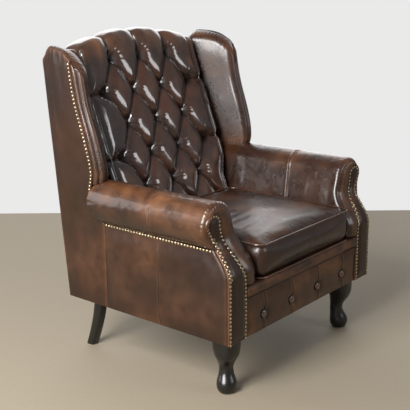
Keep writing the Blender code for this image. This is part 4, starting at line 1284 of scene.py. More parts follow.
# ------------------------------------------------------------------ arms
@dataclass
class Arm:
    """Scroll arm: stuffed inside and roll, facing, side panel and nail heads."""

    side: Side
    finishes: Finishes
    rim: float = 0.017
    foot: float = 0.3565
    slab: float = 0.2935
    board_top: float = 0.5206
    board_outer: float = 0.3706
    back: float = 0.600
    nail_pitch: float = 0.0118

    def profile(self, count: int) -> tuple:
        """Visible and hidden side of the pad's section, from the nails to the foot.

        Args:
            count: points on each.

        Returns:
            Two arrays of (x, z).
        """
        start = math.asin((LINES.nail_z - LINES.roll_z) / LINES.roll_radius)
        turn = np.linspace(start, math.radians(152), 90)
        arc = np.stack(
            [
                LINES.roll_x + LINES.roll_radius * np.cos(turn),
                LINES.roll_z + LINES.roll_radius * np.sin(turn),
            ],
            -1,
        )
        tail = drawn_line(
            (
                arc[-1], (0.2905, 0.525), (0.2790, 0.490), (0.2680, 0.440), (0.2640, 0.400),
                (0.2636, self.foot),
            ),
            80,
        )
        seen = evenly(np.vstack([arc, tail[1:]]), count)
        corners = np.array(
            [
                (self.board_outer, LINES.nail_z + 0.001),
                (self.board_outer, self.board_top),
                (self.slab, self.board_top),
                (self.slab, self.foot),
            ]
        )
        dense = np.vstack(
            [np.linspace(a, b, 60, endpoint=False) for a, b in zip(corners, corners[1:])] + [corners[-1:]]
        )
        return seen, evenly(dense, count)

    def facing_edge(self, seen: np.ndarray, run: np.ndarray) -> np.ndarray:
        """Place on the facing's outline that the leather at each section point runs to.

        Args:
            seen: visible section points (x, z).
            run: length along them.

        Returns:
            Points (x, z), one for each section point.
        """
        up = np.linspace(LINES.nail_z + 0.001, LINES.facing_top, 90)
        down = np.linspace(LINES.facing_top, self.foot, 220)
        line = np.vstack(
            [
                np.stack([FACING_EDGE(up, 1) + 0.0005, up], -1),
                np.stack([FACING_EDGE(down, 0) - 0.0005, down], -1),
            ]
        )
        far = run_along(line)
        inside = np.argmax((run > 0.2) & (seen[:, 1] < 0.490))
        level = far[len(up) + int(np.argmax(down < 0.490))]
        want = np.interp(run, [0.0, run[inside], run[-1]], [0.0, level, far[-1]])
        return np.stack([np.interp(want, far, line[:, k]) for k in (0, 1)], -1)

    def front_edge(self, first: np.ndarray, edge: np.ndarray, gather: np.ndarray) -> np.ndarray:
        """Stuffed edge from the pad's front to the facing.

        Args:
            first: first visible row of the pad.
            edge: places (x, z) on the facing's outline.
            gather: small forward waves, for each column.

        Returns:
            Rows of points between the two.
        """
        x, z = first[:, 0] * self.side.value, first[:, 2]
        lead = first[:, 1] - LINES.front - LINES.sweep(z)
        width = np.hypot(edge[:, 0] - x, edge[:, 1] - z)
        rows = []
        for share in (0.08, 0.18, 0.30, 0.43, 0.56, 0.69, 0.81, 0.91, 1.0):
            here_x, here_z = x + (edge[:, 0] - x) * share, z + (edge[:, 1] - z) * share
            bulge = 0.0058 * math.sin(math.pi * min(share, 0.97)) ** 0.8 * smooth(width / 0.030)
            out = lead * (1 - share) + 0.0016 * share - bulge - gather * (1.0 - share)
            rows.append(at_depth(self.side.value * here_x, LINES.sweep(here_z) + out, here_z))
        rows.append(
            at_depth(self.side.value * edge[:, 0], LINES.sweep(edge[:, 1]) + 0.0078, edge[:, 1])
        )
        return np.stack(rows)

    def pad(self) -> bpy.types.Object:
        """Stuffed inside, roll and front edge of the arm."""
        seen, unseen = self.profile(150)
        length = 0.53
        t = stations(
            0.0, length, 0.0055,
            ((0.0, 0.020, 0.0018), (LINES.mid_seam - 0.055, 0.008, 0.0013), (length, 0.012, 0.002)),
        ) / length

        def spread(points: np.ndarray, lead: float) -> np.ndarray:
            """Section points at every station."""
            x, z = points[None, :, 0], points[None, :, 1]
            start = LINES.sweep(z) + lead
            outer = np.clip((x - 0.352) / 0.020, 0.0, 1.0)
            edge = WING_EDGE(z, 1) - 0.004
            stop = self.back + (edge - self.back) * outer
            return at_depth(self.side.value * x, start + (stop - start) * t[:, None], z)

        outer, inner = spread(seen, 0.0012), spread(unseen, 0.0086)
        normal = grid_normals(outer, inner)
        depth = outer[..., 1] - LINES.front
        start = depth[:1]
        ahead, behind = depth - start, depth[-1:] - depth
        run = run_along(seen)
        edge = self.facing_edge(seen, run)
        rim = np.clip(0.8 * np.hypot(*(seen - edge).T) - 0.0005, 0.002, self.rim)[None, :]
        run = run[None, :]
        on_roll = smooth((0.30 - run) / 0.04)
        rear_roll = 0.010 * on_roll
        move = -roll_in(ahead, rim)
        move -= np.where(rear_roll > 1e-4, roll_in(behind, 0.010), 0.0) * on_roll
        folds = ripples(run, 0.0125, 2.5, outer, 0.05, 21)
        head = hump(run - 0.17, 0.11)
        move += folds * 0.0013 * np.exp(-ahead / 0.020) * head
        tucks = ripples(run, 0.020, 3.0, outer, 0.06, 22)
        move += tucks * 0.0011 * np.exp(-behind / 0.030) * on_roll
        seam = np.abs(depth - LINES.mid_seam - 0.010 * np.sin(run * 9.0))
        seam_on = smooth((run - 0.004) / 0.01)
        move += seam_on * (-0.0016 * hump(seam, 0.0013) + 0.0011 * hump(seam - 0.0040, 0.0026))
        pucker = np.sin(run / 0.0085 * 2 * np.pi) * noise(outer, 0.02, 23)
        move += 0.0005 * pucker * hump(seam - 0.007, 0.008)
        lean = noise(outer * np.array([1.0, 0.45, 1.0]), 0.045, 24)
        move += 0.0012 * lean + 0.0005 * noise(outer, 0.014, 25)
        sag = hump(run - 0.34, 0.05) * 0.0010 * noise(outer * np.array([1.0, 3.0, 0.7]), 0.05, 27)
        outer = outer + normal * (move + sag)[..., None]
        rungs = self.front_edge(outer[0], edge, (folds * 0.0011 * head)[0])
        pad = stuffed("arm_" + self.side.word, outer, inner, rungs)
        top = hump(run - 0.155, 0.055)
        blotch = smooth(0.55 + 0.8 * noise(outer, 0.055, 26))
        worn = top * blotch * 0.55 + 0.75 * np.exp(-ahead / 0.022) * hump(run - 0.15, 0.07) * blotch
        worn += 0.25 * hump(seam - 0.0040, 0.0022) * seam_on
        worn += 0.25 * on_roll * smooth(0.3 + noise(outer, 0.09, 28))
        # painted shade in the groove of the seam and in the crevice where the pad meets its front edge
        crease = seam_on * hump(seam, 0.0011) * 0.8 + hump(ahead + 0.003, 0.003) * 0.3
        wear = np.zeros(len(pad.data.vertices))
        wear[: worn.size] = np.clip(worn, 0.0, 1.0).ravel()
        front_wear = 0.45 * head[0] + 0.35 * smooth((run[0] - 0.22) / 0.05)
        wear[2 * worn.size :] = (front_wear * np.linspace(0.9, 0.3, len(rungs))[:, None]).ravel()
        node = "arm_pad_" + self.side.word
        return upholstered(pad, self.finishes.rubbed, node, wear, crease)

    def facing(self) -> bpy.types.Object:
        """Leather-covered front of the arm, lightly padded between its nails."""
        shoulder = 0.542
        low = stations(LINES.floor, shoulder, 0.004, ((LINES.floor, 0.004, 0.0012), (0.470, 0.004, 0.0012)))
        high = shoulder + 0.033 * np.sin(np.linspace(0.0, math.pi / 2, 16))[1:]
        z = np.concatenate([low, high])[:, None]
        u = np.linspace(-1.0, 1.0, 41)
        u = (np.sign(u) * (1.0 - (1.0 - np.abs(u)) ** 1.5))[None, :]
        edge_in, edge_out = FACING_EDGE(z, 0), FACING_EDGE(z, 1)
        middle, half = (edge_in + edge_out) / 2, (edge_out - edge_in) / 2
        x = middle + u * half
        front = LINES.sweep(z)
        to_edge = np.minimum(half * (1.0 - np.abs(u)), z - LINES.floor)
        to_edge = np.minimum(to_edge, np.maximum(LINES.facing_top - z, 0.0) + 0.0 * u)
        waist = hump(z - 0.470, 0.0016)
        outer = at_depth(self.side.value * x, front + 0.0, z)
        crown = 0.0045 * smooth((to_edge - 0.008) / 0.018)
        crown = crown + 0.0008 * noise(outer, 0.03, 31) * smooth(to_edge / 0.012)
        crown = crown - 0.0012 * waist * (1.0 + 0.0 * u)
        outer[..., 1] += roll_in(to_edge, 0.0045) - crown
        inner = at_depth(self.side.value * x, front + 0.0080, z)
        board = stuffed("facing_" + self.side.word, outer, inner)
        worn = 0.5 * hump(to_edge, 0.004) + 0.25 * hump(z - 0.47, 0.02) + 0.0 * u
        node = "arm_facing_" + self.side.word
        # painted shade in the groove across the facing's waist
        return upholstered(board, self.finishes.panel, node, worn, 0.5 * waist + 0.0 * u)

    def side_panel(self) -> bpy.types.Object:
        """Outer arm: leather from the facing to the wing, below the roll."""
        z = stations(
            LINES.floor, LINES.nail_z - 0.0005, 0.005,
            ((LINES.floor, 0.005, 0.0015), (LINES.nail_z, 0.01, 0.002)),
        )
        seam_at = LINES.mid_seam
        stop = LINES.side_seam - 0.0006
        lead = 0.0083
        t = stations(
            lead, stop, 0.006,
            ((lead, 0.008, 0.0016), (seam_at, 0.006, 0.0012), (stop, 0.005, 0.0012)),
        )
        z, along = z[:, None], ((t - t[0]) / (t[-1] - t[0]))[None, :]
        start = LINES.sweep(z) + lead
        depth = start + (stop - start) * along
        to_front, to_rear = depth - start, stop - depth
        seam = np.abs(depth - seam_at)
        outer = at_depth(self.side.value * (LINES.flank(depth) + 0.0005), depth, z)
        inner = at_depth(self.side.value * (LINES.flank(depth) - 0.0026), depth, z)
        inner[:, 0, 1] += 0.0005
        puff = 0.0075 * smooth(to_front / 0.07) * smooth(to_rear / 0.05) * smooth((LINES.nail_z - z) / 0.06)
        puff = puff * smooth((z - LINES.floor) / 0.05)
        puff -= 0.0013 * hump(seam, 0.0014) - 0.0006 * hump(seam - 0.0040, 0.0030)
        puff += 0.0009 * noise(outer * np.array([1.0, 1.0, 0.6]), 0.06, 33)
        under = LINES.nail_z - z
        scallop = ripples(depth, 0.047, 2.0, outer, 0.08, 34)
        puff += 0.0009 * scallop * hump(under - 0.012, 0.014)
        puff -= roll_in(to_front, 0.0130) * 0.8 + roll_in(to_rear, 0.0024)
        puff -= roll_in(z - LINES.floor + 0.0 * depth, 0.0022)
        outer[..., 0] += self.side.value * puff
        panel = stuffed("outer_arm_" + self.side.word, outer, inner)
        worn = 0.25 * hump(to_front, 0.010) + 0.10 * hump(seam - 0.0040, 0.0025)
        worn += 0.25 * smooth(0.2 + noise(outer, 0.12, 35))
        node = "side_panel_" + self.side.word
        # painted shade in the groove of the seam
        return upholstered(panel, self.finishes.panel, node, worn, 0.7 * hump(seam, 0.0012))

    def facing_nail_line(self) -> tuple:
        """Line of nails up the facing's outer edge, round its head and down inside."""
        inset = 0.0060
        z = np.linspace(LINES.floor + 0.004, 0.545, 200)
        outer = np.stack([FACING_EDGE(z, 1) - inset, z], -1)
        inner = np.stack([FACING_EDGE(z, 0) + inset, z], -1)
        turn = np.radians(np.linspace(10, 170, 40))
        head = np.stack([0.3915 + 0.0270 * np.cos(turn), 0.543 + 0.0260 * np.sin(turn)], -1)
        line = np.vstack([outer, head, inner[::-1]])
        line = evenly(line, int(run_along(line)[-1] / self.nail_pitch))
        middle = (line[1:] + line[:-1]) / 2
        run = line[1:] - line[:-1]
        run /= np.linalg.norm(run, axis=1, keepdims=True)
        between = middle + np.stack([-run[:, 1], run[:, 0]], -1) * 0.0062
        outside = middle[:, 0] > (FACING_EDGE(middle[:, 1], 0) + FACING_EDGE(middle[:, 1], 1)) / 2
        slanted = (middle[:, 1] > 0.385) & (middle[:, 1] < np.where(outside, 0.500, 0.455))
        line = np.vstack([line, between[slanted]])
        depth = LINES.sweep(line[:, 1]) - 0.0002
        lean = LINES.sweep(line[:, 1] + 0.004) - LINES.sweep(line[:, 1] - 0.004)
        outward = np.stack([np.zeros(len(line)), np.full(len(line), -0.008), lean], -1)
        return at_depth(self.side.value * line[:, 0], depth, line[:, 1]), outward

    def side_nail_line(self) -> tuple:
        """Line of nails down the wing's edge, behind the roll and forward under it."""
        z, rise = np.linspace(0.962, 0.480, 260), 0.0012
        inset = np.full(len(z), 0.962)
        down = LINES.wing(self.side, inset, np.full(len(z), -rise), z)
        towards = LINES.wing(self.side, inset, np.full(len(z), -0.010), z) - down
        depth = np.linspace(0.492, 0.070, 160)
        under_roll = np.full(len(depth), 0.4660)
        forward = at_depth(self.side.value * (LINES.flank(depth) + rise), depth, under_roll)
        sideways = np.tile([self.side.value, 0.0, 0.0], (len(depth), 1))
        line = np.hstack([np.vstack([down, forward]), np.vstack([towards / 0.010, sideways])])
        far = run_along(line[:, :3])
        want = np.linspace(0.0, far[-1], int(far[-1] / self.nail_pitch))
        line = np.stack([np.interp(want, far, line[:, k]) for k in range(6)], -1)
        return line[:, :3], line[:, 3:]

    def nails(self) -> list[bpy.types.Object]:
        """Nail heads of the facing and of the side."""
        made = []
        lines = (
            ("facing_nail_heads_", "facing_nails_", self.facing_nail_line()),
            ("side_nail_heads_", "side_nails_", self.side_nail_line()),
        )
        for name, node, (places, outward) in lines:
            frames = [facing_frame(p, o) for p, o in zip(places, outward)]
            heads = repeated(name + self.side.word, nail_head(), frames)
            made.append(
                in_place(heads, self.finishes.brass, (node + self.side.word,))
            )
        return made

    def build(self) -> None:
        """Makes every piece of the arm."""
        self.pad()
        self.facing()
        self.side_panel()
        self.nails()


# ------------------------------------------------------------------ wings
@dataclass
class Wing:
    """One wing: its stuffed inside with two welts, and its outer leather."""

    side: Side
    finishes: Finishes

    def pad(self) -> bpy.types.Object:
        """Stuffed inner face, nose and rounded top."""
        seen = drawn_line(
            (
                (0.20, 0.074), (0.35, 0.069), (0.55, 0.064), (0.75, 0.060), (0.92, 0.057),
                (1.03, 0.054), (1.09, 0.046), (1.120, 0.034), (1.112, 0.020), (1.065, 0.0085),
                (1.030, 0.0045), (1.004, 0.0030),
            ),
            110,
        )
        unseen = drawn_line(
            ((0.22, 0.0265), (0.45, 0.0250), (0.70, 0.0250), (0.945, 0.0250), (0.975, 0.0060)), 110
        )
        near_crest = 1.0 - 0.18 * np.linspace(1, 0, 34) ** 1.6
        t = np.concatenate([np.linspace(0.0, 0.82, 70, endpoint=False), near_crest])
        t = t[:, None]
        s, inward = seen[None, :, 0], seen[None, :, 1]
        foot = LINES.wing(self.side, s, inward, np.full(s.shape, 0.610))
        reach = np.abs(np.abs(foot[..., 0]) - LINES.roll_x)
        over = np.sqrt(np.maximum(LINES.roll_radius**2 - reach**2, 0.0004))
        floor = np.maximum(LINES.roll_z + over + 0.0005, 0.560)
        top = WING_TOP(np.minimum(s, 1.2)) - 0.0015
        z = floor + (top - floor) * t
        below = top - z
        flat = np.sqrt(np.clip(1.0 - (1.0 - np.minimum(below / 0.036, 1.0)) ** 2, 0.0, 1.0))
        thick = 0.0035 + (inward - 0.0035) * flat
        drift = np.minimum(s, 1.0) + np.maximum(s - 1.0, 0.0) * (0.25 + 0.75 * flat)
        outer = LINES.wing(self.side, drift, thick, z)
        u_s, u_in = unseen[None, :, 0], unseen[None, :, 1]
        inner_z = 0.625 + (np.minimum(WING_TOP(u_s) - 0.006, top - 0.004) - 0.625) * t
        near_top = np.clip((top - 0.008 - inner_z) / 0.03, 0.0, 1.0)
        inner = LINES.wing(self.side, u_s, 0.0030 + (u_in - 0.0030) * near_top, inner_z)
        normal = grid_normals(outer, inner)
        run = run_along(seen * np.array([0.2, 1.0]))
        run = (run[-1] - run)[None, :]
        band = hump(run - 0.022, 0.0022) + hump(run - 0.046, 0.0022)
        move = np.zeros(z.shape) - 0.0030 * band
        move = move + 0.0030 * (hump(run - 0.011, 0.007) + hump(run - 0.034, 0.008))
        move += 0.0010 * noise(outer * np.array([1.0, 1.0, 0.5]), 0.05, 41)
        gathers = ripples(run, 0.014, 3.0, outer, 0.05, 42)
        move += 0.0005 * gathers * hump(below - 0.012, 0.020)
        foot_folds = ripples(run, 0.011, 3.0, outer, 0.04, 43)
        move += 0.0007 * foot_folds * hump(z - floor, 0.020)
        face = smooth((run - 0.060) / 0.02)
        move += 0.0020 * face * smooth(below / 0.10) * smooth((z - floor) / 0.10)
        outer = outer + normal * move[..., None]
        pad = stuffed("wing_" + self.side.word, outer, inner)
        worn = 0.16 * (hump(run - 0.011, 0.006) + hump(run - 0.034, 0.007))
        worn = worn + 0.35 * hump(below - 0.01, 0.02) * smooth(0.5 + noise(outer, 0.04, 44))
        worn += 0.20 * face * smooth(0.2 + noise(outer, 0.07, 45))
        worn += 0.35 * hump(z - floor - 0.012, 0.014) * smooth(0.6 + noise(outer, 0.05, 46))
        node = "wing_pad_" + self.side.word
        # painted shade in the grooves beside the two welts
        return upholstered(pad, self.finishes.grained, node, worn, 0.8 * band + 0.0 * z)

    def outside(self) -> bpy.types.Object:
        """Outer leather from the rear edge of the body to the nails."""
        s = stations(0.0, 1.0, 0.025, ((0.0, 0.02, 0.006), (1.0, 0.02, 0.006)))[None, :]
        close = ((0.0, 0.004, 0.002), (0.36, 0.08, 0.005), (1.0, 0.02, 0.0022))
        t = stations(0.0, 1.0, 0.008, close)[:, None]
        top = WING_TOP(s)
        z = LINES.floor + (top - LINES.floor) * t
        below = top - z
        width = 0.20
        to_rear, to_front = s * width, (1.0 - s) * width
        plain = LINES.wing(self.side, s, np.zeros(z.shape), z)
        out = 0.0030 * smooth(to_rear / 0.05) * smooth(to_front / 0.05)
        out = out * smooth((z - 0.20) / 0.05) * smooth(below / 0.05)
        ridge = hump(s - 0.50, 0.14) * smooth((z - 0.70) / 0.15) * smooth(below / 0.06)
        out = out + 0.0035 * ridge
        out += 0.0010 * noise(plain * np.array([1.0, 1.0, 0.5]), 0.09, 51)
        out -= roll_in(to_rear + 0.0 * z, 0.004) + roll_in(to_front + 0.0 * z, 0.0018)
        out -= roll_in(below, 0.0105) * 0.95 + roll_in(z - LINES.floor, 0.0022)
        crinkle = np.sin(s * 40.0 + 3.0 * noise(plain, 0.05, 52))
        out += 0.0008 * crinkle * hump(below - 0.015, 0.018)
        outer = LINES.wing(self.side, s, -out, z)
        inner = LINES.wing(self.side, s, 0.0027 + 0.0002 * np.maximum(-out, 0.0) / 0.01, z)
        inner = np.where((out < -0.0022)[..., None], LINES.wing(self.side, s, -out + 0.0012, z), inner)
        panel = stuffed("wing_outside_" + self.side.word, outer, inner)
        worn = 0.35 * smooth(0.1 + noise(plain, 0.16, 53)) * smooth((0.85 - z) / 0.3)
        worn += 0.30 * hump(below - 0.006, 0.012) + 0.25 * hump(to_front, 0.01) + 0.25 * hump(to_rear, 0.006)
        # painted shade in the narrow crevice along the front edge
        node, edge_shade = "outer_wing_" + self.side.word, 0.4 * hump(to_front, 0.001) + 0.0 * z
        return upholstered(panel, self.finishes.panel, node, worn, edge_shade)

    def build(self) -> None:
        """Makes every piece of the wing."""
        self.pad()
        self.outside()


# ------------------------------------------------------------------ front and back
@dataclass
class Skirt:
    """Front of the seat: rolled lip over a buttoned border."""

    finishes: Finishes
    half: float = 0.3150
    lip_floor: float = 0.3105
    setback: float = 0.004
    buttons: tuple = (-0.225, -0.075, 0.075, 0.225)
    button_z: float = 0.2385

    def lip(self) -> bpy.types.Object:
        """Padded roll along the front, under the cushion."""
        seen = drawn_line(
            (
                (0.0055, self.lip_floor), (0.0005, 0.3145), (-0.0042, 0.3240), (-0.0040, 0.3350),
                (0.0000, 0.3440), (0.0080, 0.3500), (0.0190, 0.3522), (0.0360, 0.3524),
            ),
            44,
        )
        unseen = drawn_line(
            ((0.0130, 0.3105), (0.0140, 0.3200), (0.0140, 0.3300), (0.0250, 0.3400), (0.0360, 0.3400)), 44
        )
        x = stations(-self.half, self.half, 0.005, ((-self.half, 0.004, 0.0012), (self.half, 0.004, 0.0012)))
        outer = at_depth(x[:, None], seen[None, :, 0], seen[None, :, 1])
        inner = at_depth(x[:, None], unseen[None, :, 0], unseen[None, :, 1])
        normal = grid_normals(outer, inner)
        z = outer[..., 2]
        end = self.half - np.abs(x[:, None])
        pucker = ripples(x[:, None], 0.011, 3.0, outer, 0.03, 61)
        move = 0.0007 * pucker * hump(z - self.lip_floor, 0.010)
        move += 0.0013 * noise(outer * np.array([0.6, 1.0, 1.0]), 0.05, 62)
        move -= roll_in(end, 0.003) + 0.0 * z
        outer = outer + normal * move[..., None]
        roll = stuffed("front_lip_roll", outer, inner)
        worn = 0.55 * hump(z - 0.337, 0.014) * smooth(0.55 + noise(outer, 0.05, 63)) + 0.2
        # painted shade in the crevice under the roll, where it meets the border
        crease = 0.6 * hump(z - self.lip_floor, 0.0022)
        return upholstered(roll, self.finishes.panel, "front_lip", worn, crease)

    def border(self) -> bpy.types.Object:
        """Panel below the lip, dimpled by its buttons."""
        close = [(x, 0.012, 0.0016) for x in self.buttons]
        close += [(-self.half, 0.004, 0.0012), (self.half, 0.004, 0.0012)]
        x = stations(-self.half, self.half, 0.0045, close)[:, None]
        z = stations(
            LINES.floor, self.lip_floor - 0.0004, 0.0035,
            ((self.button_z, 0.012, 0.0016), (LINES.floor, 0.004, 0.0012), (self.lip_floor, 0.008, 0.0014)),
        )[None, :]
        outer = at_depth(x, self.setback, z)
        inner = at_depth(x, self.setback + 0.0074, z)
        to_edge = np.minimum(self.half - np.abs(x), np.minimum(z - LINES.floor, self.lip_floor - z))
        out = 0.0045 * smooth(to_edge / 0.03)
        out = out + 0.0009 * noise(outer, 0.035, 65)
        down = self.lip_floor - z
        pucker = ripples(x, 0.0095, 4.0, outer, 0.03, 66)
        out += 0.0008 * pucker * hump(down - 0.004, 0.011) * smooth(0.55 + noise(outer, 0.05, 67))
        worn = 0.40 * smooth(0.3 + noise(outer, 0.06, 68)) + 0.20
        crease = 0.0 * (x + z)
        for index, place in enumerate(self.buttons):
            far = np.hypot(x - place, z - self.button_z)
            out -= 0.0088 * hump(far, 0.019)
            turn = np.arctan2(z - self.button_z, x - place)
            out += 0.0006 * np.sin(11 * turn + index) * hump(far - 0.016, 0.008)
            wander = 0.0022 * np.sin((z - self.button_z) * 40.0 + index)
            fold = np.abs(x - place - wander)
            reach = smooth((np.abs(z - self.button_z) - 0.006) / 0.01)
            out -= 0.0019 * hump(fold, 0.0022) * reach - 0.0012 * hump(fold - 0.007, 0.005) * reach
            # painted shade along the folds and in the button dimples
            crease = crease + 0.75 * hump(fold, 0.0016) * reach + 0.6 * hump(far, 0.011)
            worn = worn + 0.2 * hump(fold - 0.006, 0.003) * reach - 0.5 * hump(far, 0.02)
        out -= roll_in(to_edge, 0.0035)
        outer[..., 1] -= out
        panel = stuffed("front_border_panel", outer, inner)
        return upholstered(panel, self.finishes.panel, "front_border", worn, crease)

    def button_piece(self) -> bpy.types.Object:
        """Covered buttons of the border."""
        frames = []
        for x in self.buttons:
            seat = at_depth(x, self.setback + 0.0012, self.button_z)
            frames.append(facing_frame(seat, np.array([0.0, -1.0, 0.0])))
        obj = repeated("border_buttons", covered_button(0.0128), frames)
        paint(obj, "worn", 0.05)
        return in_place(obj, self.finishes.leather, ("front_border_buttons",))

    def build(self) -> None:
        """Makes every piece of the skirt."""
        self.lip()
        self.border()
        self.button_piece()


@dataclass
class OuterBack:
    """Flat leather panel behind the back."""

    finishes: Finishes

    def build(self) -> None:
        """Makes the panel."""
        u = np.linspace(-1.0, 1.0, 91)[None, :]
        t = stations(0.0, 1.0, 0.012, ((0.0, 0.005, 0.002), (1.0, 0.01, 0.003)))[:, None]
        top = LINES.crest(u * 0.3594) - 0.0195
        top = top + np.maximum(0.9655 - top, 0.0) * smooth((np.abs(u) - 0.80) / 0.10)
        z = LINES.floor + (top - LINES.floor) * t
        x = u * (LINES.back_half(z) - 0.0034)
        outer = at_depth(x, LINES.back_depth(z), z)
        inner = at_depth(x, LINES.back_depth(z) - 0.0026, z)
        to_edge = np.minimum(LINES.back_half(z) - 0.0034 - np.abs(x), z - LINES.floor)
        to_edge = np.minimum(to_edge, top - z)
        out = 0.0020 * smooth(to_edge / 0.09) + 0.0008 * noise(outer * np.array([0.8, 1, 0.6]), 0.11, 71)
        out = out * smooth(to_edge / 0.02) - roll_in(to_edge, 0.0022)
        outer[..., 1] += out
        panel = stuffed("outer_back_panel", outer, inner)
        worn = 0.3 * smooth(0.1 + noise(outer, 0.15, 72)) + 0.3 * hump(to_edge, 0.008)
        upholstered(panel, self.finishes.panel, "outer_back", worn, 0.0 * z + 0.0 * x)


# ------------------------------------------------------------------ deck and dust cloth
@dataclass
class UnderSeat:
    """Stuffed deck below the loose cushion, and the dust cloth tacked under the frame."""

    finishes: Finishes
    seam: float = 0.055
    sag: float = 0.005

    def deck(self) -> bpy.types.Object:
        """Deck in platform cloth, rolled in at its edges and dished over the springs."""
        low, high = (np.array(corner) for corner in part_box("seat_deck"))
        x = stations(low[0], high[0], 0.012, ((low[0], 0.02, 0.002), (high[0], 0.02, 0.002)))[:, None]
        seam = low[1] + self.seam
        y = stations(
            low[1], high[1], 0.012, ((low[1], 0.02, 0.002), (high[1], 0.02, 0.002), (seam, 0.01, 0.0014))
        )[None, :]
        flat = np.stack(np.broadcast_arrays(x, y, high[2] + 0.0 * x * y), -1).astype(float)
        to_edge = np.minimum(np.minimum(x - low[0], high[0] - x), np.minimum(y - low[1], high[1] - y))
        dish = 0.5 - 0.5 * np.cos((x - low[0]) / (high[0] - low[0]) * 10 * np.pi)
        sink = 0.0008 + 0.0012 * dish * smooth(to_edge / 0.08) + roll_in(to_edge, 0.005)
        sink = sink + 0.0010 * smooth(0.5 + noise(flat, 0.07, 81))
        stitched = np.abs(y - seam)
        sink = sink + 0.0016 * hump(stitched, 0.0022) + 0.0 * x
        ripple = ripples(x, 0.012, 3.0, flat, 0.04, 82)
        sink = sink + 0.0004 * (1.0 + ripple) * hump(stitched - 0.006, 0.008)
        outer = flat.copy()
        outer[..., 2] -= sink
        inner = flat.copy()
        inner[..., 2] = low[2]
        return in_place(
            stuffed("deck_pad", outer, inner), self.finishes.platform, ("seat_deck",)
        )

    def dust_cloth(self) -> bpy.types.Object:
        """Thin cloth round the legs, hanging a little between its tacks."""
        low, high = (np.array(corner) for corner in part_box("dust_cover"))
        obj = bpy.data.objects.new("dust_cloth", bpy.data.objects["dust_cover"].data.copy())
        bpy.context.scene.collection.objects.link(obj)
        select_only(obj)
        edit_all()
        bpy.ops.mesh.remove_doubles(threshold=0.00005)
        for axis, count in ((0, 26), (1, 22)):
            facing = tuple(float(k == axis) for k in range(3))
            for place in np.linspace(low[axis], high[axis], count)[1:-1]:
                at = tuple(float(place) if k == axis else 0.0 for k in range(3))
                bpy.ops.mesh.select_all(action="SELECT")
                bpy.ops.mesh.bisect(plane_co=at, plane_no=facing)
        bpy.ops.object.mode_set(mode="OBJECT")
        points = points_of(obj)
        to_edge = np.minimum(points - low, high - points)[:, :2].min(axis=1)
        pull = np.sin(np.abs(points[:, 0] + points[:, 1]) / 0.05 * 2 * np.pi)
        drop = self.sag * smooth(to_edge / 0.16) * (0.8 + 0.2 * noise(points, 0.12, 83))
        drop += 0.0008 * (1.0 + pull) * hump(to_edge - 0.03, 0.03)
        for vertex, down in zip(obj.data.vertices, drop):
            vertex.co.z -= float(down)
        in_place(obj, self.finishes.lining, ("dust_cover",))
        return obj

    def build(self) -> None:
        """Makes both."""
        self.deck()
        self.dust_cloth()


